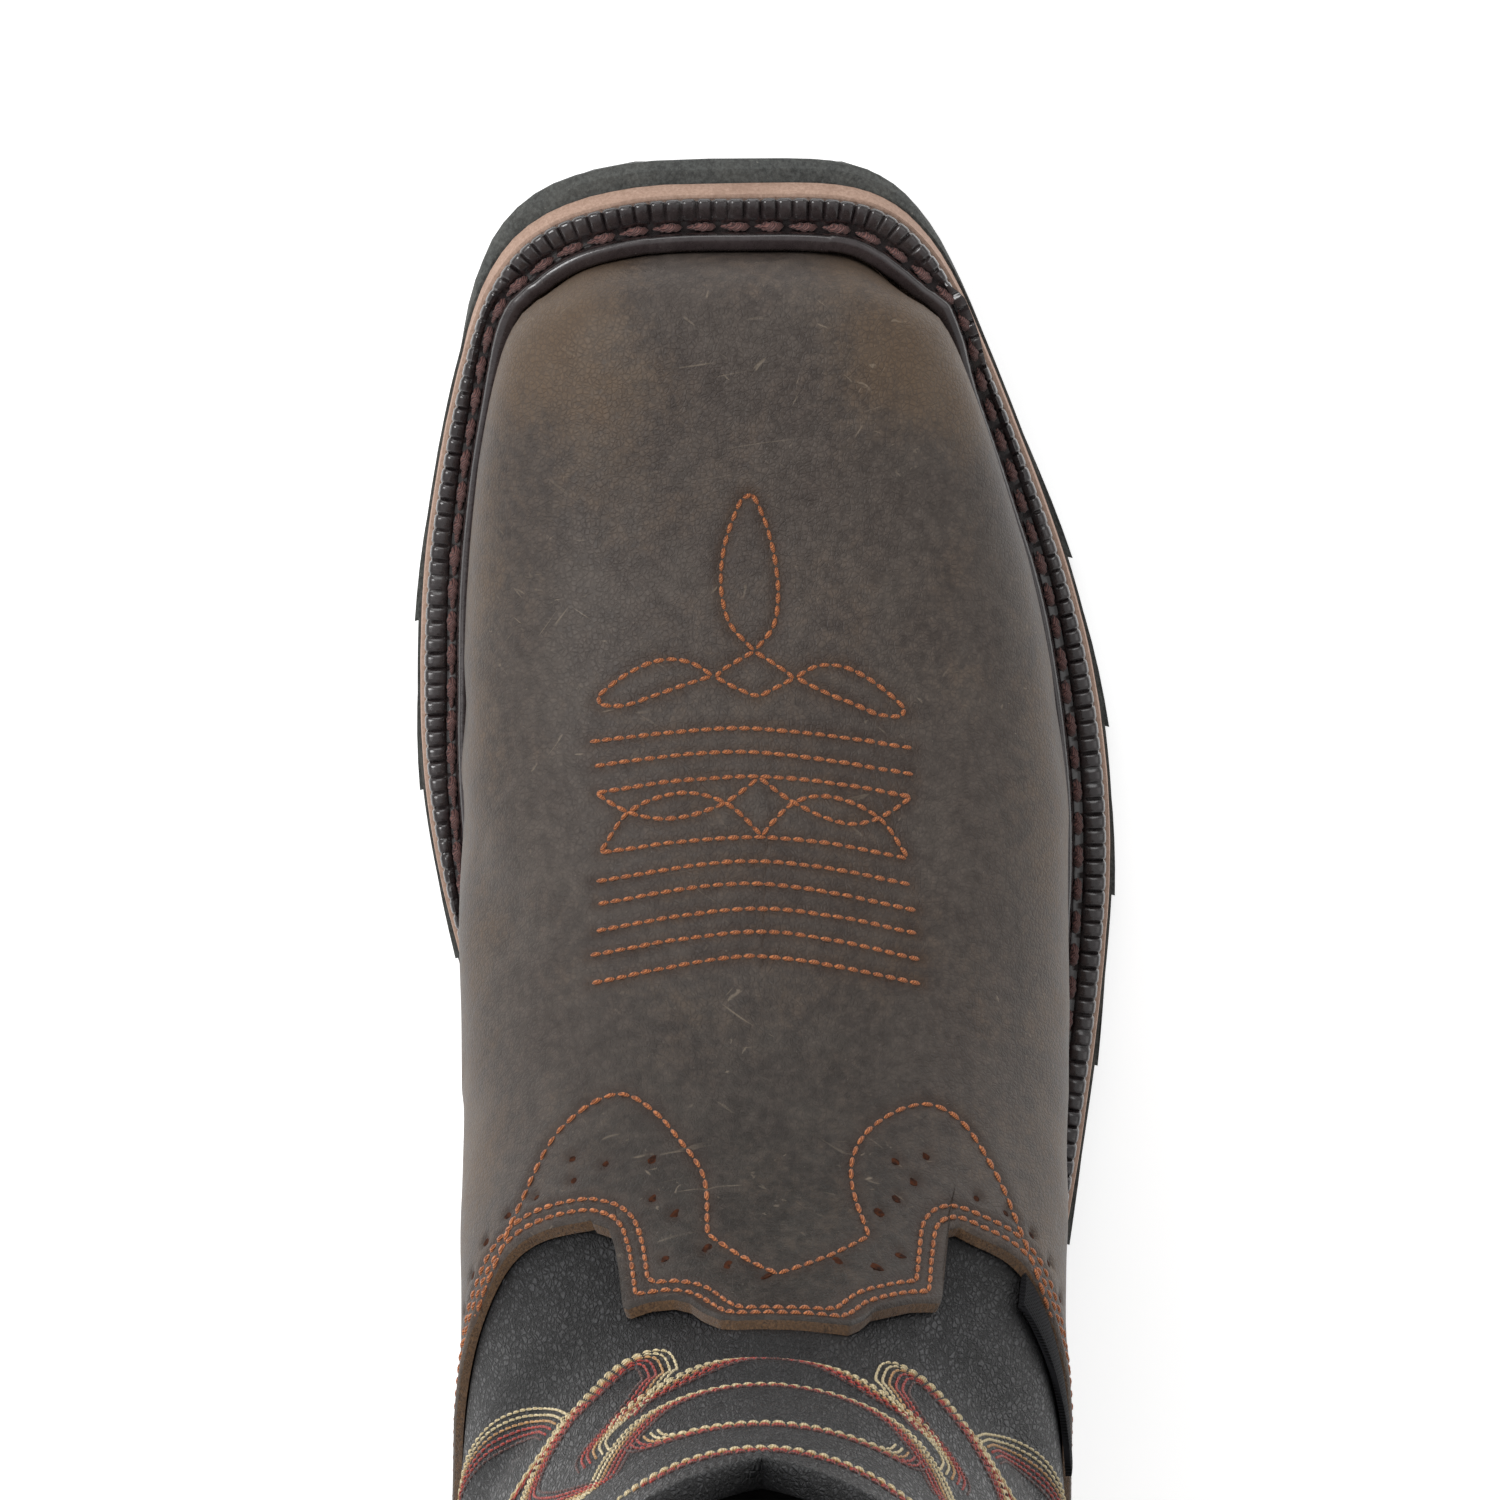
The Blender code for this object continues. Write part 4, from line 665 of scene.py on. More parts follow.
def sew(seams, pitch, radius, share=0.86, **shape):
    """Capsules along seams. seams: list of (points, normals). Returns points and faces."""
    starts, ends, faces_out = [], [], []
    for line, facing in seams:
        total = run_of(line)[-1]
        count = max(int(round(total / pitch)), 1)
        at = np.linspace(0, total, count + 1)
        spots = read_at(line, line, at)
        normal = read_at(line, facing, (at[:-1] + at[1:]) / 2)
        gap = (spots[1:] - spots[:-1]) * (1 - share) / 2
        starts.append(spots[:-1] + gap)
        ends.append(spots[1:] - gap)
        faces_out.append(normal)
    return capsules(np.concatenate(starts), np.concatenate(ends), np.concatenate(faces_out), radius, **shape)


def sewn_piece(name, seams, pitch, radius, material, **shape):
    points, faces = sew(seams, pitch, radius, **shape)
    piece = make_mesh(name, points, faces, [material], angle=80)
    print(name, len(faces), "faces")
    return piece


# %% Keep every finished piece in one list
placed = []


def place(piece, slot, *nodes):
    """A finished piece rides on the boot and may stand for solids, which are hidden. slot: not used."""
    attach(piece, "root")
    if nodes:
        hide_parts(*nodes)
    placed.append(piece)
    return piece


# %% [markdown]
# ## Finishes
# Each finish is a material of its own, with one Principled shader. What several finishes share,
# such as pebbled grain, rubbed edges or dust, is a node group with named inputs. A group keeps one
# effect in one place, so that a change to the grain reaches vamp, shaft and straps alike.

# %% A small language for nodes
class Tree:
    """A few short calls to lay and join shader nodes."""

    def __init__(self, tree):
        self.tree = tree

    def add(self, kind, links=None, **values):
        node = self.tree.nodes.new(kind)
        for key, value in values.items():
            setattr(node, key, value)
        for key, value in (links or {}).items():
            if isinstance(value, bpy.types.NodeSocket):
                self.tree.links.new(value, node.inputs[key])
            else:
                node.inputs[key].default_value = value
        return node

    def join(self, value, socket):
        self.tree.links.new(value, socket)

    def math(self, operation, a, b=None, c=None, clamp=False):
        links = {0: a}
        links.update({1: b} if b is not None else {})
        links.update({2: c} if c is not None else {})
        return self.add("ShaderNodeMath", links, operation=operation, use_clamp=clamp).outputs[0]

    def ramp(self, value, low, high, out_low=0.0, out_high=1.0):
        links = {"Value": value, "From Min": low, "From Max": high, "To Min": out_low, "To Max": out_high}
        return self.add("ShaderNodeMapRange", links, interpolation_type="SMOOTHSTEP").outputs[0]

    def mix(self, factor, a, b, blend="MIX"):
        node = self.add("ShaderNodeMix", data_type="RGBA", blend_type=blend)
        for index, value in ((0, factor), (6, a), (7, b)):
            if isinstance(value, bpy.types.NodeSocket):
                self.tree.links.new(value, node.inputs[index])
            else:
                node.inputs[index].default_value = value
        return node.outputs[2]

    def noise(self, place, scale, detail=3.0, rough=0.55, distortion=0.0):
        links = {"Vector": place, "Scale": scale, "Detail": detail, "Roughness": rough}
        links["Distortion"] = distortion
        return self.add("ShaderNodeTexNoise", links).outputs[0]

    def place(self, stretch=(1.0, 1.0, 1.0), turn=(0.0, 0.0, 0.0)):
        """The boot's own coordinates in metres, stretched."""
        where = self.add("ShaderNodeTexCoord").outputs["Object"]
        return self.add("ShaderNodeMapping", {"Vector": where, "Scale": stretch, "Rotation": turn}).outputs[0]


def effect_group(name, inputs, outputs):
    """A node group with named sockets. inputs: name -> (kind, default). outputs: name -> kind."""
    group = bpy.data.node_groups.new(name, "ShaderNodeTree")
    for key, (kind, default) in inputs.items():
        socket = group.interface.new_socket(key, in_out="INPUT", socket_type="NodeSocket" + kind)
        socket.default_value = default
    for key, kind in outputs.items():
        group.interface.new_socket(key, in_out="OUTPUT", socket_type="NodeSocket" + kind)
    tree = Tree(group)
    return group, tree, tree.add("NodeGroupInput").outputs, tree.add("NodeGroupOutput").inputs


# %% Pebbled grain
GRAIN, t, given, out = effect_group(
    "pebbled_grain",
    {"Place": ("Vector", (0, 0, 0)), "Pebble": ("Float", 900.0), "Pores": ("Float", 2600.0),
     "Creasing": ("Float", 0.5)},
    {"Height": "Float", "Valleys": "Float"},
)
bend = t.add("ShaderNodeTexNoise", {"Vector": given["Place"], "Scale": 160.0, "Detail": 2.0})
shift = {0: bend.outputs["Color"], 1: (0.0016, 0.0016, 0.0016)}
bent = t.add("ShaderNodeVectorMath", shift, operation="MULTIPLY").outputs[0]
bent = t.add("ShaderNodeVectorMath", {0: given["Place"], 1: bent}, operation="ADD").outputs[0]
cells = t.add("ShaderNodeTexVoronoi", {"Vector": bent, "Scale": given["Pebble"]}, feature="DISTANCE_TO_EDGE")
pebble = t.ramp(cells.outputs[0], 0.0, 0.22)
pores = t.noise(bent, given["Pores"], 2.0, 0.6)
lines = t.noise(bent, t.math("MULTIPLY", given["Pebble"], 0.33), 4.0, 0.62, 1.6)
lines = t.ramp(t.math("ABSOLUTE", t.math("SUBTRACT", lines, 0.5)), 0.0, 0.055)
creased = t.math("MULTIPLY_ADD", t.math("SUBTRACT", lines, 1.0), given["Creasing"], pebble)
height = t.math("MULTIPLY_ADD", pores, 0.5, creased)
t.join(height, out["Height"])
t.join(t.math("SUBTRACT", 1.0, creased, clamp=True), out["Valleys"])

# %% Oil pull-up, the pale bloom where oiled leather is bent or rubbed
PULL_UP, t, given, out = effect_group(
    "oil_pull_up",
    {"Place": ("Vector", (0, 0, 0)), "Rub": ("Float", 0.0), "Patches": ("Float", 55.0),
     "Amount": ("Float", 0.5)},
    {"Mask": "Float", "Mottle": "Float"},
)
broad = t.noise(given["Place"], given["Patches"], 4.0, 0.6, 0.4)
fine = t.noise(given["Place"], t.math("MULTIPLY", given["Patches"], 9.0), 5.0, 0.7, 0.2)
mask = t.math("MULTIPLY_ADD", t.math("SUBTRACT", broad, 0.5), 1.5, given["Rub"])
mask = t.math("MULTIPLY_ADD", t.math("SUBTRACT", fine, 0.5), 1.2, mask)
t.join(t.math("MULTIPLY", t.ramp(mask, 0.0, 1.0), given["Amount"]), out["Mask"])
t.join(fine, out["Mottle"])

# %% Scuffs and dust
SCUFFS, t, given, out = effect_group(
    "scuffs_and_dust",
    {"Place": ("Vector", (0, 0, 0)), "Scratches": ("Float", 0.5), "Dust": ("Float", 0.3),
     "Speck": ("Float", 1500.0)},
    {"Scratch": "Float", "Dust": "Float"},
)
STREAKS = (
    ((0.0, 0.3, 0.6), (60.0, 900.0, 700.0)),
    ((0.4, 0.0, 2.1), (80.0, 1100.0, 800.0)),
    ((0.0, 0.0, 1.4), (50.0, 800.0, 900.0)),
)
marks = []
for turn, stretch in STREAKS:
    aside = t.add("ShaderNodeMapping", {"Vector": given["Place"], "Rotation": turn}).outputs[0]
    drawn = t.add("ShaderNodeMapping", {"Vector": aside, "Scale": stretch}).outputs[0]
    marks.append(t.ramp(t.noise(drawn, 1.0, 1.0, 0.4, 0.8), 0.725, 0.80))
scratch = t.math("MAXIMUM", t.math("MAXIMUM", marks[0], marks[1]), marks[2])
patch = t.ramp(t.noise(given["Place"], 35.0, 3.0, 0.6), 0.42, 0.62)
t.join(t.math("MULTIPLY", t.math("MULTIPLY", scratch, patch), given["Scratches"]), out["Scratch"])
specks = t.ramp(t.noise(given["Place"], given["Speck"], 2.0, 0.5), 0.70, 0.80)
film = t.ramp(t.noise(given["Place"], 110.0, 5.0, 0.7), 0.35, 0.75)
dust = t.math("MULTIPLY", t.math("MULTIPLY_ADD", film, 0.30, specks), given["Dust"])
t.join(dust, out["Dust"])

# %% Plies of twisted thread, and the weave of cloth and tape
TWIST, t, given, out = effect_group(
    "fibre_fuzz",
    {"Place": ("Vector", (0, 0, 0)), "Size": ("Float", 2500.0)},
    {"Height": "Float", "Shade": "Float"},
)
fuzz = t.noise(given["Place"], given["Size"], 4.0, 0.7)
bands = {"Vector": given["Place"], "Scale": t.math("MULTIPLY", given["Size"], 0.5), "Distortion": 2.0}
ply = t.add("ShaderNodeTexWave", bands, bands_direction="DIAGONAL").outputs["Fac"]
t.join(t.math("MULTIPLY_ADD", fuzz, 0.6, ply), out["Height"])
t.join(t.math("MULTIPLY_ADD", fuzz, 0.5, t.math("MULTIPLY", ply, 0.5)), out["Shade"])


def woven(t, place_at, scale, distortion):
    """The warp and the weft of a cloth."""
    bands = {"Vector": place_at, "Scale": scale, "Distortion": distortion}
    return [t.add("ShaderNodeTexWave", bands, bands_direction=way).outputs["Fac"] for way in "XZ"]


def use_group(t, group, **values):
    """Places a group in a material. Spaces in socket names are written as underscores."""
    node = t.add("ShaderNodeGroup")
    node.node_tree = group
    for key, value in values.items():
        socket = node.inputs[key.replace("_", " ")]
        if isinstance(value, bpy.types.NodeSocket):
            t.join(value, socket)
        else:
            socket.default_value = value
    return node.outputs


def finish_named(name, roughness, coat=0.0, coat_roughness=0.3, sheen=0.0, specular=0.5):
    """A material with one Principled shader, its constants set on its own sockets."""
    material = bpy.data.materials.new(name)
    material.use_nodes = True
    t = Tree(material.node_tree)
    shader = t.tree.nodes["Principled BSDF"]
    constants = {
        "Roughness": roughness, "Coat Weight": coat, "Coat Roughness": coat_roughness,
        "Sheen Weight": sheen, "Specular IOR Level": specular,
    }
    for key, value in constants.items():
        shader.inputs[key].default_value = value
    return material, t, shader.inputs


def bump(t, shader, height, depth, strength=1.0):
    node = t.add("ShaderNodeBump", {"Height": height, "Distance": depth, "Strength": strength})
    t.join(node.outputs[0], shader["Normal"])


def stored(t, name):
    return t.add("ShaderNodeAttribute", attribute_name=name).outputs["Fac"]


def colour(red, green, blue):
    """A colour given as it looks, 0 to 255, as the linear values that a shader takes."""
    values = [c / 255 for c in (red, green, blue)]
    return tuple(c / 12.92 if c <= 0.04045 else ((c + 0.055) / 1.055) ** 2.4 for c in values) + (1.0,)


# %% Oiled brown leather
BROWN, t, shader = finish_named("oiled_leather", 0.5, coat=0.07, coat_roughness=0.42, specular=0.30)
place_at = t.place()
grain = use_group(t, GRAIN, Place=place_at, Pebble=1150.0, Pores=4200.0, Creasing=0.35)
rub_and_highlight = t.math("MULTIPLY_ADD", stored(t, "rub_and_highlight"), 1.1, 0.06)
bloom = use_group(t, PULL_UP, Place=place_at, Rub=rub_and_highlight, Patches=48.0, Amount=0.75)
marks = use_group(t, SCUFFS, Place=place_at, Scratches=0.36, Dust=0.16, Speck=1900.0)
base = t.mix(t.ramp(bloom["Mottle"], 0.3, 0.7), colour(59, 51, 46), colour(83, 74, 68))
base = t.mix(bloom["Mask"], base, colour(100, 80, 60))
# The stored value darkens the leather where it was handled, and adds painted shade low on the sides towards
# the sole.
oil_and_painted_shade, mottle = stored(t, "oil_and_painted_shade"), t.ramp(bloom["Mottle"], 0.36, 0.66, 1.0, 0.62)
base = t.mix(t.math("MULTIPLY", oil_and_painted_shade, mottle), base, colour(21, 17, 11))
# Painted shade: a dark band beside the stitching and round the pricked holes.
base = t.mix(t.math("MULTIPLY", stored(t, "seam"), 0.70), base, colour(46, 28, 18))
base = t.mix(t.math("MULTIPLY", grain["Valleys"], 0.35), base, colour(48, 40, 36))
base = t.mix(marks["Scratch"], base, colour(150, 136, 118))
base = t.mix(marks["Dust"], base, colour(168, 160, 148))
t.join(base, shader["Base Color"])
t.join(t.ramp(t.math("ADD", bloom["Mottle"], marks["Dust"]), 0.3, 0.9, 0.46, 0.62), shader["Roughness"])
bump(t, shader, grain["Height"], 0.00009, 0.75)

# %% Suede, the fibrous cut edge and flesh side
SUEDE, t, shader = finish_named("suede_edge", 0.95, sheen=0.25, specular=0.2)
place_at = t.place()
fibre = t.noise(place_at, 2600.0, 4.0, 0.7, 0.6)
patch = t.noise(place_at, 240.0, 3.0, 0.6)
base = t.mix(t.ramp(fibre, 0.30, 0.72), colour(46, 33, 23), colour(106, 79, 54))
base = t.mix(t.ramp(patch, 0.35, 0.7, 0.0, 0.5), base, colour(80, 60, 41))
t.join(base, shader["Base Color"])
bump(t, shader, fibre, 0.00035, 0.9)

# %% Black shaft leather
BLACK, t, shader = finish_named("black_leather", 0.5, coat=0.07, coat_roughness=0.32, specular=0.30)
place_at = t.place(stretch=(1.25, 1.25, 0.30))
grain = use_group(t, GRAIN, Place=place_at, Pebble=960.0, Pores=3400.0, Creasing=1.6)
marks = use_group(t, SCUFFS, Place=place_at, Scratches=0.10, Dust=0.07, Speck=2200.0)
shade = t.noise(place_at, 42.0, 3.0, 0.6)
base = t.mix(t.ramp(shade, 0.35, 0.7), colour(20, 20, 22), colour(40, 40, 43))
base = t.mix(t.math("MULTIPLY", grain["Valleys"], 0.8), base, colour(7, 7, 8))
base = t.mix(marks["Scratch"], base, colour(104, 102, 100))
base = t.mix(marks["Dust"], base, colour(132, 130, 126))
t.join(base, shader["Base Color"])
t.join(t.ramp(grain["Valleys"], 0.0, 1.0, 0.44, 0.62), shader["Roughness"])
bump(t, shader, grain["Height"], 0.00034, 1.0)

# %% Lining cloth and footbed
LINING, t, shader = finish_named("lining", 0.9, sheen=0.15, specular=0.3)
place_at = t.place()
cloth = t.math("MULTIPLY", *woven(t, place_at, 380.0, 0.6))
shade = t.ramp(t.noise(place_at, 90.0), 0.3, 0.7)
t.join(t.mix(shade, colour(40, 39, 40), colour(60, 58, 58)), shader["Base Color"])
bump(t, shader, cloth, 0.00015, 0.7)

# %% Moulded welt rubber
WELT_RUBBER, t, shader = finish_named("welt_rubber", 0.34, coat=0.75, coat_roughness=0.16, specular=0.5)
place_at = t.place()
skin = t.noise(place_at, 900.0, 4.0, 0.6)
marks = use_group(t, SCUFFS, Place=place_at, Scratches=0.25, Dust=0.30, Speck=1700.0)
base = t.mix(t.ramp(skin, 0.3, 0.7), colour(22, 16, 17), colour(38, 30, 31))
# Painted highlight: the stored value lightens the ridge and the rib tops of the welt.
base = t.mix(t.math("MULTIPLY", stored(t, "rub_and_highlight"), 0.4), base, colour(86, 74, 76))
base = t.mix(marks["Scratch"], base, colour(120, 108, 104))
base = t.mix(marks["Dust"], base, colour(128, 120, 116))
t.join(base, shader["Base Color"])
t.join(t.ramp(skin, 0.3, 0.75, 0.22, 0.38), shader["Roughness"])
bump(t, shader, skin, 0.00008, 0.5)

# %% Tan midsole and dark outsole rubber
MIDSOLE, t, shader = finish_named("midsole_tan", 0.72, specular=0.35)
place_at = t.place()
cellular = t.noise(place_at, 1900.0, 4.0, 0.7)
stain = t.noise(place_at, 120.0, 5.0, 0.7)
base = t.mix(t.ramp(cellular, 0.25, 0.75), colour(156, 127, 110), colour(186, 157, 140))
base = t.mix(t.ramp(stain, 0.50, 0.74, 0.0, 0.55), base, colour(140, 112, 96))
t.join(base, shader["Base Color"])
bump(t, shader, cellular, 0.00012, 0.8)

OUTSOLE, t, shader = finish_named("outsole_rubber", 0.8, specular=0.3)
place_at = t.place()
rough = t.noise(place_at, 1300.0, 5.0, 0.75)
lumps = t.add("ShaderNodeTexVoronoi", {"Vector": place_at, "Scale": 700.0}, feature="SMOOTH_F1").outputs[0]
marks = use_group(t, SCUFFS, Place=place_at, Scratches=0.2, Dust=0.5, Speck=1500.0)
base = t.mix(t.ramp(rough, 0.3, 0.72), colour(50, 51, 50), colour(88, 90, 88))
base = t.mix(marks["Scratch"], base, colour(112, 112, 106))
base = t.mix(marks["Dust"], base, colour(140, 138, 130))
t.join(base, shader["Base Color"])
bump(t, shader, t.math("MULTIPLY_ADD", lumps, 0.7, rough), 0.00035, 0.8)


# %% Threads and woven tape
def thread_finish(name, dark, light, roughness=0.6):
    """Waxed thread: two shades over its plies and fuzz."""
    material, t, shader = finish_named(name, roughness, sheen=0.2, specular=0.4)
    plies = use_group(t, TWIST, Place=t.place(), Size=2600.0)
    t.join(t.mix(t.ramp(plies["Shade"], 0.25, 0.8), dark, light), shader["Base Color"])
    bump(t, shader, plies["Height"], 0.00010, 0.7)
    return material


COPPER = thread_finish("copper_thread", colour(112, 58, 26), colour(190, 116, 66))
CREAM = thread_finish("cream_thread", colour(168, 150, 110), colour(222, 206, 166))
SAND = thread_finish("tan_thread", colour(140, 100, 56), colour(196, 152, 98))
RED = thread_finish("red_thread", colour(110, 28, 20), colour(176, 58, 44))
UMBER = thread_finish("brown_thread", colour(48, 24, 20), colour(92, 52, 44))
BURGUNDY = thread_finish("welt_thread", colour(58, 34, 34), colour(122, 84, 78), 0.5)
# Painted shade: the dark brown of these drops stands for the shade inside the pricked holes.
HOLE, t, shader = finish_named("pricked_hole", 0.9, specular=0.2)
shade = t.ramp(t.noise(t.place(), 1400.0), 0.3, 0.7)
t.join(t.mix(shade, colour(30, 14, 8), colour(74, 38, 18)), shader["Base Color"])

TAPE, t, shader = finish_named("woven_black", 0.8, specular=0.15)
place_at = t.place()
weave = t.math("MAXIMUM", *woven(t, place_at, 620.0, 0.4))
t.join(t.mix(t.ramp(weave, 0.3, 1.0), colour(8, 8, 9), colour(30, 30, 33)), shader["Base Color"])
bump(t, shader, weave, 0.00018, 0.9)
print(len(bpy.data.node_groups), "effect groups,", len(bpy.data.materials), "finishes")

# %% [markdown]
# ## The black shaft
# The shaft and the lined foot are one hollow wall. Its outside is black tumbled leather and its
# inside cloth. It is read from the sections on a ring of meridians and closed with an inner wall,
# rather than given a Solidify modifier, so that the thickness is true to the last everywhere.

# %% Shaft wall
def half_shares(count, last=1.0):
    """Meridian shares from 0, closer together round the toe and the tongue."""
    return np.interp(np.linspace(0, 1, count), (0, 0.60, 1), (0, 0.36, last))


def set_down(grid):
    """The sheet's lower rows kept clear of the midsole."""
    grid = grid.copy()
    grid[1:, :, 2] = np.maximum(grid[1:, :, 2], sole_top(grid[1:, :, 0]) + 2 * FIT_GAP)
    grid[0, :, 2] = sole_top(grid[0, :, 0]) + FIT_GAP
    return grid


HIDDEN_ROWS, SHOWN_ROWS, INNER_ROWS = 26, 126, 60
half = half_shares(122)
RING = np.concatenate([half[::-1], -half[1:-1]])


def shaft_stops(column, path):
    """Few rows where the brown leather hides the shaft, and many above."""
    hidden, top = reach_height(path, side_top(column) - 0.012), reach_height(path, collar_height(column))
    below = np.linspace(0, hidden, HIDDEN_ROWS, endpoint=False)
    return np.concatenate([below, np.linspace(hidden, top, SHOWN_ROWS)])


shaft, shaft_normal = grid_over(RING, shaft_stops)
SHAFT_FOLDS = np.array([
    (0.094, 0.034, 0.146, 0.094, -0.034, 0.148, 0.0060, 0.0009),
    (0.092, 0.040, 0.170, 0.092, -0.040, 0.166, 0.0070, 0.0006),
    (0.090, 0.036, 0.128, 0.030, 0.048, 0.112, 0.0070, 0.0008),
    (0.090, -0.036, 0.128, 0.026, -0.048, 0.110, 0.0070, 0.0008),
    (0.070, 0.045, 0.170, 0.010, 0.046, 0.150, 0.0080, 0.0006),
    (0.072, -0.045, 0.168, 0.012, -0.046, 0.146, 0.0080, 0.0006),
    (-0.030, 0.026, 0.150, -0.030, -0.026, 0.152, 0.0070, 0.0008),
    (-0.032, 0.024, 0.172, -0.032, -0.024, 0.170, 0.0075, 0.0006),
    (0.088, 0.030, 0.212, 0.084, -0.034, 0.206, 0.0110, 0.0005),
])
flat = shaft.reshape(-1, 3)
lift = folds(flat, SHAFT_FOLDS) + 0.0003 * value_noise(flat, 0.026, 2)
rows_up = row_numbers(shaft)
fade = smooth_step((rows_up - HIDDEN_ROWS - 8) / 8) * smooth_step((len(shaft) - 1 - rows_up) / 10)
shaft_out = set_down(moved_out(shaft, shaft_normal, lift * fade))
inner_rows = np.unique(np.linspace(0, len(shaft) - 1, INNER_ROWS).astype(int))
shaft_in = set_down((shaft_out - shaft_normal * WALL)[inner_rows])
upper = wall_between("upper_leather", shaft_out, shaft_in, [BLACK, LINING], ring=True)
place(upper, "black_leather", "upper")
shaft_tree = surface_tree([np.concatenate([shaft_out, shaft_out[:, :1]], axis=1)])
print("shaft wall:", len(upper.data.polygons), "faces")

# %% [markdown]
# ## The brown vamp
# The vamp is one sheet of oiled leather lasted over the toe. Seen from above it is most of the
# boot, so it gets the finest grid: about a millimetre between points. Its cut edge slants, which
# shows the pale suede side of the hide as a band along the tongue.

# %% Vamp sheet before sewing
half = half_shares(178, SIDE_SEAM_AT)
VAMP_SHARES = np.concatenate([half[::-1], -half[1:]])
RIM_STEPS = np.array([0.0014, 0.0009, 0.0005, 0.0002, 0.0])
RIM_SLANT = 0.0009
BODY_ROWS, EDGE_ROWS = 158, 36


def vamp_stops(column, path):
    """Row distances of the vamp: its body to a level line, then the tongue, then the cut edge."""
    end, level = leather_end(column, path), reach_height(path, side_top(column) - 0.010)
    shares = np.linspace(0, 1, BODY_ROWS, endpoint=False)
    body = np.interp(shares, (0, 0.13, 0.30, 1), (0, 0.18, 0.32, 1)) * level
    return np.concatenate([body, np.linspace(level, end - RIM_STEPS[0] * 1.3, EDGE_ROWS), end - RIM_STEPS])


def sheet(shares, stops_of):
    """A leather sheet over the last: its normals and its outer face."""
    base, normal = grid_over(shares, stops_of)
    thick = np.full(base.shape[0], OVERLAY_THICKNESS + FIT_GAP)
    thick[-len(RIM_STEPS):] -= 0.0006 * (1 - RIM_STEPS / RIM_STEPS[0]) ** 2
    return normal, set_down(base + normal * thick[:, None, None])


def sheet_inside(shares, stops_of, rows, count):
    """A sheet's inner face on fewer rows, ending a little further up, so that the cut edge slants."""
    picks = np.unique(np.append(np.linspace(0, rows - 6, count).astype(int), rows - 1))

    def further(column, path):
        stops = stops_of(column, path)[picks]
        stops[-1] += RIM_SLANT
        return stops

    base, normal = grid_over(shares, further)
    return set_down(base + normal * FIT_GAP)


vamp_normal, vamp_face = sheet(VAMP_SHARES, vamp_stops)
vamp_tree = surface_tree([vamp_face])
print("vamp sheet:", vamp_face.shape, "points")

# %% [markdown]
# ## Where the vamp is sewn
# The ornament at the toe is the old bug and wrinkle of western boots: a leaf and a lozenge, and
# rows of stitching like folds. It stiffened the vamp before it was an ornament. Its lines are
# short tables in plan, in millimetres, dropped straight down on the leather. Drawing them in the
# material would be quicker, but each row also quilts the leather, so the rows move vertices too.

# %% Bug and wrinkle lines in plan
TOE_LEAF = (
    (195.1, 1.0), (200.0, 5.4), (208.4, 6.5), (215.6, 5.0), (221.2, 1.9), (214.0, -1.6), (205.2, -3.0),
    (199.0, -2.2), (195.1, 1.0),
)
LOZENGE = ((195.0, 1.0), (191.0, 7.9), (187.4, 0.7), (190.7, -6.0), (195.0, 1.0))
MEDIAL_LEAF = (
    (191.0, 7.9), (193.2, 11.6), (193.5, 16.7), (190.6, 23.0), (186.4, 27.6), (185.9, 23.0),
    (187.5, 18.2), (189.8, 11.7), (191.0, 7.9),
)
LATERAL_LEAF = (
    (190.7, -6.0), (192.6, -9.4), (192.5, -13.6), (189.3, -19.8), (184.5, -24.6), (184.3, -20.6),
    (186.0, -16.4), (188.3, -10.8), (190.7, -6.0),
)
WRINKLES = (
    ((179.9, 28.5), (181.5, 17.0), (182.5, 3.0), (181.2, -12.0), (178.9, -25.8)),
    ((176.0, 27.8), (177.7, 17.0), (178.7, 3.0), (177.2, -12.0), (174.7, -25.8)),
    ((171.7, 27.5), (174.0, 14.0), (174.7, 0.2), (173.5, -13.0), (171.1, -25.3)),
    ((162.2, 26.6), (164.2, 14.0), (165.1, -0.1), (163.8, -13.0), (161.2, -24.7)),
    ((157.5, 27.4), (160.1, 14.0), (161.3, 1.4), (160.0, -12.0), (157.0, -25.4)),
    ((153.9, 27.1), (156.6, 14.0), (157.8, 1.4), (156.2, -12.0), (152.9, -26.2)),
    ((149.6, 27.4), (152.5, 14.0), (153.8, -0.3), (152.4, -13.0), (149.2, -26.5)),
    ((145.7, 28.4), (148.8, 14.0), (150.2, -0.3), (148.6, -13.0), (145.2, -26.8)),
    ((141.4, 28.2), (144.7, 14.0), (146.4, 1.4), (144.8, -12.0), (141.3, -27.1)),
)
WAVES = (
    ((171.7, 27.5), (168.8, 22.0), (167.9, 15.0), (170.6, 5.8), (174.6, 0.2)),
    ((174.6, 0.2), (170.6, -5.6), (167.1, -14.1), (167.9, -19.9), (171.1, -25.3)),
    ((162.2, 26.6), (168.8, 22.0), (172.1, 13.3), (170.6, 5.8), (165.3, -0.3)),
    ((165.3, -0.3), (170.6, -5.6), (171.6, -11.1), (167.9, -19.9), (161.2, -24.7)),
)
BORDER = (
    ((79.6, 48.8), (92.2, 45.9), (100.2, 42.7), (107.9, 39.5), (118.9, 32.9), (124.9, 23.2),
     (122.6, 17.4), (118.7, 13.1), (113.8, 9.2), (106.3, 8.6)),
    ((106.3, 8.6), (103.4, 2.8), (101.5, -2.8)),
    ((101.5, -2.8), (103.2, -10.4), (105.5, -17.6)),
    ((105.5, -17.6), (112.6, -14.9), (117.2, -15.5), (121.1, -19.4), (123.2, -27.1), (120.4, -32.9),
     (113.9, -37.8), (107.7, -41.0), (95.4, -45.8), (84.1, -49.1)),
)
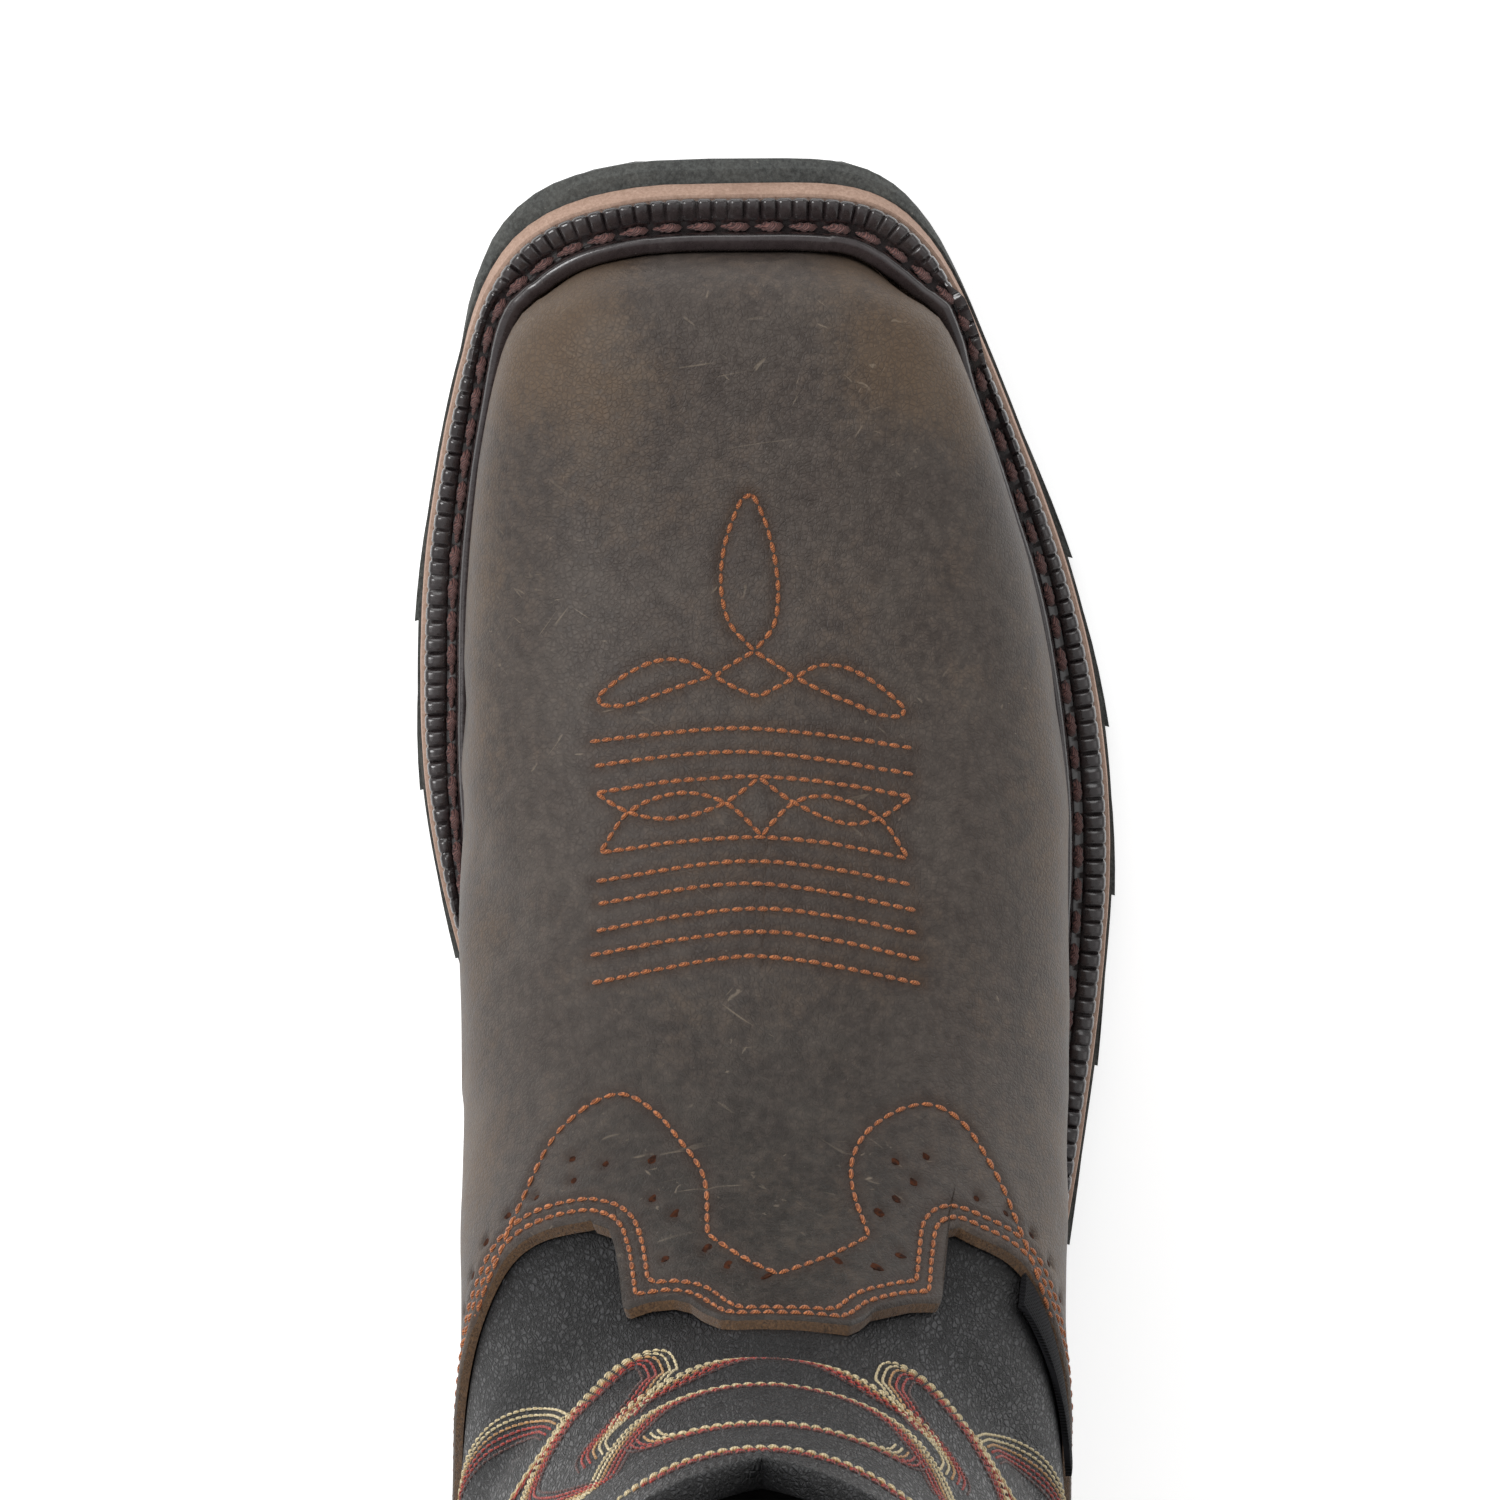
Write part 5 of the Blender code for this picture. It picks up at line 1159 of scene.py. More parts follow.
PRICKINGS = (
    (115.1, 30.9), (114.7, 25.4), (115.7, 18.0), (111.9, 30.8), (110.5, 17.6), (108.5, 14.0),
    (102.8, 15.6), (104.3, 9.0), (102.3, 5.4), (101.3, -0.7), (102.5, -12.8), (101.5, -18.6),
    (102.8, -22.4), (108.3, -19.6), (110.2, -22.4), (115.5, -27.3), (115.4, -22.3), (112.3, -25.2),
)
PLAN_STEP = 0.0004


def plan_seam(tree, corners, soft=True):
    """A seam dropped on the leather from its corners in plan, curved or straight between them."""
    corners = np.array(corners) * MM
    curve = catmull_rom(corners, False, each=10) if soft else corners
    return drop(tree, evenly(curve, PLAN_STEP))


LEAVES = (TOE_LEAF, MEDIAL_LEAF, LATERAL_LEAF)
ornament = [plan_seam(vamp_tree, line) for line in LEAVES + WRINKLES + WAVES]
ornament.append(plan_seam(vamp_tree, LOZENGE, soft=False))
border = [plan_seam(vamp_tree, line) for line in BORDER]
holes, _ = drop(vamp_tree, np.array(PRICKINGS) * MM)
print(len(ornament), "ornament lines,", len(holes), "pricked holes")

# %% Rows beside the cut edge
ROW_INSETS, BAND_INSET, BAND_START, BAND_STEP = (0.0023, 0.0046), 0.0078, 0.004, 0.0062


def inside_edge(tree, face, normal, distance):
    """A seam line at a distance inside a sheet's top edge."""
    at = np.arange(0, run_of(face[-1])[-1], SEAM_STEP)
    edge, normals = read_at(face[-1], face[-1], at), read_at(face[-1], normal[-1], at)
    inward = np.cross(normals, np.gradient(edge, axis=0))
    inward /= np.linalg.norm(inward, axis=1)[:, None]
    if inward[len(edge) // 2, 2] > 0:
        inward = -inward
    line, _ = settle(tree, edge + inward * distance)
    away = near_line(line, edge, distance * 2)
    return settle(tree, evenly(smooth_line(line[away > distance * 0.90], 6)))


vamp_rows = [inside_edge(vamp_tree, vamp_face, vamp_normal, step) for step in ROW_INSETS]
band, _ = inside_edge(vamp_tree, vamp_face, vamp_normal, BAND_INSET)
band = read_at(band, band, np.arange(BAND_START, run_of(band)[-1], BAND_STEP))
holes = np.concatenate([holes, band[(np.abs(band[:, 1]) > 0.0355) & (band[:, 0] > 0.062)]])

# %% The vamp, quilted by its seams
SEAM_DEPTH, HOLE_DEPTH = 0.00032, 0.0006
SINK_WIDTH, SHADE_WIDTH, SINK_REACH = 0.0011, 0.0016, 0.004
VAMP_FOLDS = np.array([
    (0.170, 0.052, 0.030, 0.140, 0.040, 0.070, 0.0070, 0.0009),
    (0.188, 0.050, 0.028, 0.170, 0.040, 0.050, 0.0060, 0.0007),
    (0.120, 0.050, 0.050, 0.104, 0.036, 0.088, 0.0080, 0.0007),
    (0.160, -0.052, 0.030, 0.136, -0.040, 0.070, 0.0110, 0.0004),
    (0.118, -0.050, 0.050, 0.104, -0.038, 0.084, 0.0110, 0.0003),
])


def quilted(flat, seams):
    """How far a sheet's points sink beside seams, and how near they lie to them from 0 to 1."""
    away = near_line(flat, np.concatenate([line for line, _ in seams]), SINK_REACH)
    return -SEAM_DEPTH * np.exp(-((away / SINK_WIDTH) ** 2)), np.exp(-((away / SHADE_WIDTH) ** 2))


flat = vamp_face.reshape(-1, 3)
sink, near_seam = quilted(flat, ornament + border + vamp_rows)
hole_away = near_line(flat, holes, SINK_REACH)
sink -= HOLE_DEPTH * np.exp(-((hole_away / SINK_WIDTH) ** 2))
lift = folds(flat, VAMP_FOLDS) + 0.00022 * value_noise(flat, 0.020, 3)
lift += 0.00012 * value_noise(flat, 0.008, 4)
sink += smooth_step(row_numbers(vamp_face) / 10) * lift
vamp_out = moved_out(vamp_face, vamp_normal, sink)
vamp_in = sheet_inside(VAMP_SHARES, vamp_stops, len(vamp_face), 30)
vamp = wall_between("vamp_leather", vamp_out, vamp_in, [BROWN, SUEDE], ring=False)
place(vamp, "oiled_leather", "vamp")
x, y, z = flat.T
toe_rub = smooth_step((x - 0.222) / 0.022) * smooth_step((np.abs(y - 0.003) - 0.006) / 0.028)
side_rub = 0.35 * smooth_step((np.abs(y) - 0.040) / 0.010)
side_rub += 0.4 * smooth_step((near_seam - 0.3) / 0.7) * (x > 0.13)
add_value(vamp, "rub_and_highlight", np.maximum(toe_rub, side_rub))
handled = 0.95 * np.exp(-(((x - 0.098) / 0.046) ** 2 + ((y - 0.002) / 0.032) ** 4))
# Darker where the leather was handled at the instep, plus painted shade: darker towards the sole, from 26 mm
# high down.
add_value(vamp, "oil_and_painted_shade", handled + 0.5 * smooth_step((0.026 - z) / 0.012))
# Painted shade beside the seams and round the pricked holes.
add_value(vamp, "seam", np.maximum(near_seam, np.exp(-((hole_away / SHADE_WIDTH) ** 2))))
vamp_tree = surface_tree([vamp_out])
print("vamp:", len(vamp.data.polygons), "faces")

# %% Vamp stitching
BORDER_PITCH = 0.0025
HOLE_LENGTH, HOLE_WIDTH, HOLE_FILL = 0.0027, 0.0018, 0.00012


def sew_brown(name, tree, seams, pitch=STITCH_PITCH):
    """Copper rows sewn into the brown leather."""
    lines = [settle(tree, line) for line, _ in seams]
    place(sewn_piece(name, lines, pitch, THREAD_RADIUS, COPPER, sink=0.5, lift=0.30), "oiled_leather")


sew_brown("vamp_stitching", vamp_tree, ornament + vamp_rows)
sew_brown("border_stitching", vamp_tree, border, BORDER_PITCH)


def teardrops(centres, normals, tips, length, width, thickness):
    """Closed flat drops pointing along tips, to fill pricked holes."""
    points, faces = [], []
    around = np.linspace(0, 2 * np.pi, 14, endpoint=False)
    for centre, normal, tip in zip(centres, normals, tips):
        tip = tip - normal * (tip @ normal)
        tip /= np.linalg.norm(tip)
        side = np.cross(normal, tip)
        start = len(points)
        for up in (thickness, -thickness * 4):
            for a in around:
                pull = 0.5 * (1 - math.cos(a))
                aside = side * width / 2 * math.sin(a) * (0.35 + 0.65 * pull)
                points.append(centre + tip * length / 2 * math.cos(a) + aside + normal * up)
        n = len(around)
        faces += [tuple(start + j for j in range(n)), tuple(start + n + j for j in reversed(range(n)))]
        faces += [(start + j, start + n + j, start + n + (j + 1) % n, start + (j + 1) % n) for j in range(n)]
    return points, faces


# Painted shade: flat dark drops lie in the dents in place of the holes' depth.
hole_spots, hole_facing = settle(vamp_tree, holes)
middle = np.array([0.128, 0.0, 0.0])
tips = hole_spots * (1, 1, 0) - middle
points, faces = teardrops(hole_spots, hole_facing, tips, HOLE_LENGTH, HOLE_WIDTH, HOLE_FILL)
place(make_mesh("pricked_holes", points, faces, [HOLE]), "oiled_leather")

# %% [markdown]
# ## The counter
# The heel counter is a second brown sheet, from side seam to side seam round the back. It is cut
# and sewn as the vamp is, so it is made by the same calls on the other meridians.

# %% Heel counter
COUNTER_ROWS = 76
back = np.linspace(SIDE_SEAM_AT + 0.0035, 1, 90)
COUNTER_SHARES = np.concatenate([-back, back[::-1][1:]])


def counter_stops(column, path):
    end = reach_height(path, side_top(column))
    return np.concatenate([np.linspace(0, end - RIM_STEPS[0] * 1.3, COUNTER_ROWS), end - RIM_STEPS])


counter_normal, counter_face = sheet(COUNTER_SHARES, counter_stops)
counter_tree = surface_tree([counter_face])
counter_rows = [inside_edge(counter_tree, counter_face, counter_normal, step) for step in ROW_INSETS]
counter_rows += [settle(counter_tree, evenly(counter_face[6:-8, column])) for column in (3, -4)]
flat = counter_face.reshape(-1, 3)
sink, near_seam = quilted(flat, counter_rows)
lift = 0.00025 * value_noise(flat, 0.022, 7) + 0.00010 * value_noise(flat, 0.008, 8)
sink += smooth_step(row_numbers(counter_face) / 8) * lift
counter_out = moved_out(counter_face, counter_normal, sink)
counter_in = sheet_inside(COUNTER_SHARES, counter_stops, len(counter_face), 16)
counter = wall_between("counter_leather", counter_out, counter_in, [BROWN, SUEDE], ring=False)
place(counter, "oiled_leather", "heel_counter")
x, _, z = flat.T
add_value(counter, "rub_and_highlight", 0.45 * smooth_step((0.0 - x) / 0.03) * smooth_step((0.07 - z) / 0.03))
# Painted shade beside the counter's seams.
add_value(counter, "seam", near_seam)
# Painted shade: the counter is darker towards the sole, from 50 mm high down.
add_value(counter, "oil_and_painted_shade", 0.5 * smooth_step((0.05 - z) / 0.015))
counter_tree = surface_tree([counter_out])
sew_brown("counter_stitching", counter_tree, counter_rows)
print("counter:", len(counter.data.polygons), "faces")

# %% [markdown]
# ## The sole's layers
# Insole, midsole and outsole are flat goods cut to the bottom outline, each a little further out.
# A layer is a run of like rings from top to bottom, with small steps at the corners for the round
# that a rasp leaves. The lugs under the outsole are prisms joined by an exact Boolean, as they are
# really moulded with it.

# %% Layers cut to the outline
def toe_share(x):
    return smooth_step((x - along(TOE_REACH_FROM)) / (along(1.0) - along(TOE_REACH_FROM)))


def offset_outline(distance, forward=0.0):
    x = FEATHER[:, 0]
    d = distance(x) if callable(distance) else np.full(len(FEATHER), distance)
    stretch = forward * toe_share(x)[:, None] * np.array([1.0, TOE_REACH_SIDE])
    return FEATHER + FEATHER_NORMAL * d[:, None] + stretch


END_ZONE = 0.012
END_SHARES = np.array([0.0, 0.004, 0.015, 0.035, 0.065, 0.10, 0.15, 0.21, 0.29, 0.38, 0.48, 0.60, 0.72, 0.86])


def stations(outline, count, breast=None):
    heel, toe = outline[:, 0].min(), outline[:, 0].max()
    inner = np.linspace(along(0.0) + END_ZONE, along(1.0) - END_ZONE, count)
    back, front = heel + (inner[0] - heel) * END_SHARES, toe + (inner[-1] - toe) * END_SHARES[::-1]
    x = np.concatenate([back, inner, front])
    return x if breast is None else np.append(x[x < breast - 0.001], breast)


def layer(name, rings, materials, count=150, breast=None, wave=None):
    """A slab under the foot. rings, top to bottom: (reach beyond the last, further at toe, height)."""
    loops = []
    for reach, forward, height in rings:
        outline = offset_outline(reach, forward)
        x = stations(outline, count, breast)
        medial = np.stack([x, side_at(x, outline, 1), height(x)], axis=1)
        lateral = np.stack([x, side_at(x, outline, -1), height(x)], axis=1)
        end = len(x) if breast is not None else len(x) - 1
        loops.append(np.concatenate([medial, lateral[1:end][::-1]]))
    loops = np.array(loops)
    if wave is not None:
        ripple = value_noise(loops[1:-1].reshape(-1, 3), 0.004, 9).reshape(len(loops) - 2, -1, 1)
        loops[1:-1, :, :2] += wave * ripple * 0.7
    size, n = loops.shape[1], len(x)
    j = np.arange(size)
    k = (j + 1) % size
    faces = []
    for upper_row in range(0, (len(loops) - 1) * size, size):
        lower_row = upper_row + size
        faces += np.stack([upper_row + j, upper_row + k, lower_row + k, lower_row + j], axis=1).tolist()
    for ring in (0, len(loops) - 1):
        for i in range(n - 1):
            corners = list(dict.fromkeys([i, i + 1, (size - i - 1) % size, (size - i) % size]))
            if len(corners) > 2:
                faces.append([ring * size + c for c in corners])
    piece = make_mesh(name, loops.reshape(-1, 3), faces, materials)
    print(name, len(faces), "faces")
    return piece


def below_top(depth):
    return lambda x: sole_top(x) - depth


def midsole_reach(step):
    return lambda x: reach_at(x) - step


midsole = layer("midsole_layer", (
    (midsole_reach(0.0003), 0.0, below_top(0.0)),
    (midsole_reach(-0.0003), 0.0, below_top(0.0003)),
    (midsole_reach(-0.0005), TOE_MIDSOLE_REACH * 0.5, below_top(0.0020)),
    (midsole_reach(-0.0006), TOE_MIDSOLE_REACH, below_top(0.0037)),
    (midsole_reach(0.0002), TOE_MIDSOLE_REACH, below_top(MIDSOLE_THICKNESS)),
), [MIDSOLE], wave=0.00008)
place(midsole, "midsole_tan", "midsole")
inside = -(WALL + 0.0015)
footbed = layer("footbed", (
    (inside - 0.0016, 0.0, below_top(-(FIT_GAP + INSOLE_THICKNESS))),
    (inside - 0.0008, 0.0, below_top(-(FIT_GAP + INSOLE_THICKNESS - 0.0004))),
    (inside, 0.0, below_top(-(FIT_GAP + 0.0004))),
    (inside, 0.0, below_top(-FIT_GAP)),
), [LINING], count=60)
place(footbed, "lining", "insole")

# %% Lugged outsole
LUG_PITCH, LUG_GAP, LUG_STAGGER = 0.0290, 0.0050, 0.011
LUG_TOOTH, LUG_INSET, LUG_JOIN, LUG_BEVEL = 0.0010, 0.0002, 0.0012, 0.0005
LUG_LEAN, LUG_FIRST, LUG_LAST = 0.0060, 0.418, 0.921
EDGE_LUG_WIDTH, CENTRE_CHANNEL, TOE_BLOCK_INSET = 0.0220, 0.009, 0.0004
BAR_LENGTH, BAR_WIDTH, BAR_LEAN = 0.0050, 0.0110, 0.0080


def outsole_reach(x):
    return reach_at(x) + OUTSOLE_EDGE_REACH + 0.0006


def lug(outline):
    """A tread block from its plan outline, with a small bevel round its worn lower face."""
    outline = np.array(outline)
    centre = outline.mean(axis=0)
    small = centre + (outline - centre) * (1 - LUG_BEVEL / np.linalg.norm(outline - centre, axis=1))[:, None]
    n = len(outline)
    points = [(x, y, ground(x)) for x, y in small] + [(x, y, ground(x) + LUG_BEVEL) for x, y in outline]
    points += [(x, y, ground(x) + LUG_DEPTH + LUG_JOIN) for x, y in outline]
    faces = [tuple(range(n))[::-1], tuple(range(2 * n, 3 * n))]
    faces += [(r + j, r + (j + 1) % n, r + (j + 1) % n + n, r + j + n) for r in (0, n) for j in range(n)]
    return points, faces


def edge_lug(side, low, high, edge_line):
    """A saw-tooth block along the sole's edge, standing out most at its heel end."""
    corners = []
    for share in np.linspace(0, 1, 6):
        x = low + (high - low) * share
        tooth = LUG_TOOTH * (1 - share) ** 0.8
        corners.append((x, side * (abs(side_at(x, edge_line, side)) + tooth - LUG_INSET)))
    for x in (high, low):
        reach = max(abs(side_at(x, edge_line, side)) - EDGE_LUG_WIDTH, CENTRE_CHANNEL)
        corners.append((x + LUG_LEAN, side * reach))
    return corners


def centre_bar(low, high):
    front = (low + high) / 2 + BAR_LEAN / 2
    back, half = front - BAR_LENGTH, BAR_WIDTH / 2
    ahead = [(front - BAR_LEAN, -half), (front, 0.0), (front - BAR_LEAN, half)]
    return ahead + [(back - BAR_LEAN, half), (back, 0.0), (back - BAR_LEAN, -half)]


top, bottom = MIDSOLE_THICKNESS + FIT_GAP, MIDSOLE_THICKNESS + FIT_GAP + OUTSOLE_THICKNESS
toe_reach = TOE_MIDSOLE_REACH + TOE_OUTSOLE_REACH
outsole = layer("outsole_tread", (
    (outsole_reach, TOE_MIDSOLE_REACH, below_top(top)),
    (outsole_reach, TOE_MIDSOLE_REACH + 0.55 * TOE_OUTSOLE_REACH, below_top(top + 0.0009)),
    (outsole_reach, toe_reach, below_top(0.5 * (top + bottom))),
    (outsole_reach, toe_reach, below_top(bottom - 0.0006)),
    (lambda x: outsole_reach(x) - 0.0004, toe_reach, below_top(bottom)),
), [OUTSOLE], wave=0.00010)
edge_line = offset_outline(outsole_reach, toe_reach)
start, stop = along(LUG_FIRST), along(LUG_LAST)
pitch = (stop - start) / int((stop - start) / LUG_PITCH)
blocks = []
for i in range(int((stop - start) / LUG_PITCH)):
    low = start + i * pitch
    high = low + pitch - LUG_GAP
    blocks.append(edge_lug(1, low - LUG_STAGGER, high - LUG_STAGGER, edge_line))
    blocks.append(edge_lug(-1, low, high, edge_line)[::-1])
    blocks += [centre_bar(low, high)] if i > 0 else []
tip = edge_line[:, 0].max()
front = np.linspace(along(LUG_LAST) + 0.002, tip - 0.012, 5)
front = np.append(front, tip - np.array([0.008, 0.0045, 0.0022, 0.0008]))
toe_block = [(x, float(side_at(x, edge_line, 1)) - TOE_BLOCK_INSET) for x in front]
toe_block += [(x, float(side_at(x, edge_line, -1)) + TOE_BLOCK_INSET) for x in front[::-1]]
blocks.append(toe_block)
points, faces = [], []
for block in blocks:
    new_points, new_faces = lug(block)
    faces += [tuple(v + len(points) for v in face) for face in new_faces]
    points += new_points
lugs = make_mesh("tread_blocks", points, faces, [OUTSOLE])
join = outsole.modifiers.new("join", "BOOLEAN")
join.operation, join.object, join.solver = "UNION", lugs, "EXACT"
joined = bpy.data.meshes.new_from_object(outsole.evaluated_get(bpy.context.evaluated_depsgraph_get()))
outsole.modifiers.clear()
outsole.data = joined
bpy.data.objects.remove(lugs)
joined.set_sharp_from_angle(angle=math.radians(35))
place(outsole, "outsole_rubber", "outsole")
print("outsole with", len(blocks), "lugs:", len(joined.polygons), "faces")

# %% Stacked heel
HEEL_TAPER, HEEL_LIFT, LIFT_HEIGHT = 0.0025, 0.007, 0.0052
heel_reach = HEEL_REACH + OUTSOLE_EDGE_REACH
heel_top = HEEL_HEIGHT - FIT_GAP


def heel_ring(height, inward=0.0):
    share = np.clip((heel_top - height) / (heel_top - HEEL_LIFT), 0, 1)
    return (heel_reach - HEEL_TAPER * share - inward, 0.0, lambda x: height + 0 * x)


rings = [heel_ring(heel_top, 0.0003), heel_ring(heel_top - 0.0004)]
for height in np.arange(heel_top - LIFT_HEIGHT, HEEL_LIFT + 0.002, -LIFT_HEIGHT):
    rings += [heel_ring(height + 0.00025), heel_ring(height, 0.00028), heel_ring(height - 0.00025)]
rings += [heel_ring(HEEL_LIFT + 0.0003), heel_ring(HEEL_LIFT, 0.0004), heel_ring(HEEL_LIFT - 0.0004, -0.0008)]
rings += [heel_ring(0.0007, -0.0006), heel_ring(0.0, 0.0)]
place(layer("heel_stack", rings, [OUTSOLE], count=110, breast=along(BREAST_SHARE)), "outsole_rubber", "heel")

# %% [markdown]
# ## The storm welt
# The welt is the strip between vamp and sole. Its outer part is wheeled into small ribs, the
# sewing runs in a groove beside them, and a ridge stands up against the vamp to keep water out.
# A profile is swept round the last at about a third of a millimetre, and the ribs and the groove
# are numbers in that profile. A displacement in the material would flatten out at the edge.

# %% Welt strip
WELT_THICKNESS, WELT_RIDGE_HEIGHT, WELT_END_SHARE = 0.0032, 0.0058, 0.27
WELT_GROOVE_WIDTH, WELT_FLOOR, RIB_PITCH = 0.0018, 0.0022, 0.0027
WELT_PROBES = (0.0012, 0.0026, 0.0040, 0.0054, 0.0064)
WELT_STEP, RIB_CUT = 0.00034, 0.00030
leather_tree = surface_tree([vamp_out, counter_out])


def leather_reach(index, height):
    """How far the leather stands out beyond an outline point, at a height over the midsole."""
    (x, y), out = FEATHER[index], FEATHER_NORMAL[index]
    start = Vector((x + out[0] * 0.03, y + out[1] * 0.03, sole_top(x) + height))
    hit = leather_tree.ray_cast(start, Vector((-out[0], -out[1], 0.0)))[0]
    return 0.0 if hit is None else (hit.x - x) * out[0] + (hit.y - y) * out[1]


order = np.arange(len(FEATHER))[FEATHER[:, 0] > along(WELT_END_SHARE)]
crown = np.array([[leather_reach(i, height) for height in WELT_PROBES] for i in order])
crown = np.array([crown[max(i - 4, 0):i + 5].max(axis=0) for i in range(len(crown))])
line, out_line = FEATHER[order], FEATHER_NORMAL[order]
outer_run = run_of(line + out_line * reach_at(line[:, 0])[:, None])
steps = np.arange(0, outer_run[-1], WELT_STEP)
spot = np.stack([np.interp(steps, outer_run, line[:, k]) for k in (0, 1)], axis=1)
out = np.stack([np.interp(steps, outer_run, out_line[:, k]) for k in (0, 1)], axis=1)
out /= np.linalg.norm(out, axis=1)[:, None]
low = np.interp(steps, outer_run, crown[:, :2].max(axis=1)) + FIT_GAP * 0.5
wall = np.interp(steps, outer_run, crown.max(axis=1)) + FIT_GAP * 0.5
reach = reach_at(spot[:, 0]) - 0.0003
at_toe = smooth_step((spot[:, 0] - along(0.90)) / 0.02)
ridge = wall + 0.0021 + 0.0011 * at_toe
groove = ridge + WELT_GROOVE_WIDTH
phase = (steps / RIB_PITCH) % 1.0 - 0.5
notch = np.exp(-((phase * RIB_PITCH / RIB_CUT) ** 2)) * (0.85 + 0.15 * np.sin(steps * 700))
H, R = WELT_THICKNESS, WELT_RIDGE_HEIGHT + 0.00012 * np.sin(steps * 95)
underside = [(low, 0.0), (reach, 0.0)]
ribs = [
    (reach - 0.00045 * notch, 0.5 * H), (reach - 0.0001 - 0.0005 * notch, H - 0.0007),
    (reach - 0.0004 - 0.0003 * notch, H - 0.0002 - 0.0007 * notch), (reach - 0.0009, H - 0.0009 * notch),
    (0.5 * (reach + groove), H + 0.0001 - 0.0010 * notch), (groove + 0.0007, H - 0.0009 * notch),
    (groove + 0.0003, H - 0.0002 - 0.0007 * notch), (groove + 0.00005, H - 0.0006 - 0.0003 * notch),
]
groove_floor = [(groove - 0.0001, WELT_FLOOR), (ridge + 0.0003, WELT_FLOOR)]
bead = [
    (ridge, WELT_FLOOR + 0.0005), (ridge - 0.0001, R - 0.0013), (ridge - 0.0004, R - 0.0005),
    (ridge - 0.0008, R - 0.0001), (0.5 * (ridge + wall), R), (wall + 0.0005, R - 0.0001),
    (wall + 0.0001, R - 0.0004), (wall, R - 0.0010),
]
loops = []
for side, up in underside + ribs + groove_floor + bead:
    plan = spot + out * np.asarray(side * np.ones(len(steps)))[:, None]
    loops.append(np.column_stack([plan, sole_top(plan[:, 0]) + FIT_GAP + up]))
loops = np.array(loops).transpose(1, 0, 2)


def sweep(name, loops, materials, closed, angle=60):
    """A closed solid through like profiles, as an array of (profile, point, xyz)."""
    count, width = loops.shape[:2]
    i, j = np.meshgrid(np.arange(count if closed else count - 1), np.arange(width), indexing="ij")
    n, k = (i + 1) % count, (j + 1) % width
    corners = [i * width + j, n * width + j, n * width + k, i * width + k]
    faces = np.stack(corners, axis=-1).reshape(-1, 4).tolist()
    if not closed:
        faces += [list(range(width))[::-1], list(range((count - 1) * width, count * width))]
    return make_mesh(name, loops.reshape(-1, 3), faces, materials, angle=angle)


welt = sweep("storm_welt", loops, [WELT_RUBBER], closed=False)
place(welt, "welt_rubber", "welt")
# Painted highlights: the top of the ridge and the tops of the ribs are lightened where light would catch
# them.
shine = np.zeros(loops.shape[:2])
shine[:, 15:18] = 0.55
shine[:, 5:8] = 0.35 * (1 - notch)[:, None]
add_value(welt, "rub_and_highlight", shine.reshape(-1))
print("welt:", len(welt.data.polygons), "faces,", int(steps[-1] / RIB_PITCH), "ribs")

# %% Welt stitches
WELT_PITCH, WELT_THREAD, BOBBIN_THREAD = 0.0057, 0.00078, 0.00042
middle = spot + out * (ridge + 0.5 * WELT_GROOVE_WIDTH)[:, None]
seam = np.column_stack([middle, sole_top(middle[:, 0]) + FIT_GAP + WELT_FLOOR + 0.0001])
up = np.tile((0.0, 0.0, 1.0), (len(seam), 1))
thick_thread = {"lift": 0.75, "sides": 16, "rings": 12, "jitter": 0.06, "ply": 0.16}
points, faces = sew([(seam, up)], WELT_PITCH, WELT_THREAD, share=0.60, sink=0.1, **thick_thread)
place(make_mesh("welt_stitching", points, faces, [BURGUNDY], angle=70), "welt_rubber")
half_pitch = int(WELT_PITCH / 2 / WELT_STEP)
later = [(seam[half_pitch:], up[half_pitch:])]
points, faces = sew(later, WELT_PITCH, BOBBIN_THREAD, share=0.42, sink=0.1, lift=0.6)
place(make_mesh("welt_bobbin_thread", points, faces, [BURGUNDY], angle=70), "welt_rubber")

# %% [markdown]
# ## Collar, straps and tab
# A folded strip binds the raw top of the shaft. Two loops to pull the boot on are sewn over it at
# the sides, and a corded seam runs down from each. All of them are swept or laid on the same
# surface as the shaft, so that they stay true to it. A plain woven tab is caught in the side seam.

# %% Rolled collar binding
BINDING_HEIGHT, BINDING_THICKNESS = 0.0065, 0.0010
turn = np.linspace(0, np.pi, 11)
roll = (WALL + 2 * FIT_GAP + 2 * BINDING_THICKNESS) / 2
mid_out = -WALL / 2
legs_out = [
    (FIT_GAP, -BINDING_HEIGHT),
    (FIT_GAP + 0.6 * BINDING_THICKNESS, -BINDING_HEIGHT - 0.0001),
    (FIT_GAP + BINDING_THICKNESS, -BINDING_HEIGHT + 0.0006),
    (roll + mid_out, -0.0030),
    (roll + mid_out, -0.0012),
]
arc = [(mid_out + roll * math.cos(a), FIT_GAP + (roll * 0.55) * math.sin(a)) for a in turn]
legs_in = [(mid_out - roll, -0.0012), (mid_out - roll, -BINDING_HEIGHT), (-WALL - FIT_GAP, -BINDING_HEIGHT)]
hollow = [(-WALL - FIT_GAP, FIT_GAP * 0.5), (FIT_GAP, FIT_GAP * 0.5)]
BINDING_PROFILE = np.array(legs_out + arc + legs_in + hollow)


def frame_at(column, eps=0.004):
    """A meridian from the collar down: distances, points and normals."""
    path = meridian(column)
    facing = np.cross(meridian(column + eps) - meridian(column - eps), np.gradient(path, axis=0))
    facing /= np.maximum(np.linalg.norm(facing, axis=1), 1e-12)[:, None]
    top = reach_height(path, collar_height(column))
    at = top - np.concatenate([np.linspace(0, 0.012, 13), np.linspace(0.014, 0.075, 40)])
    return top - at, read_at(path, path, at), read_at(path, facing, at)


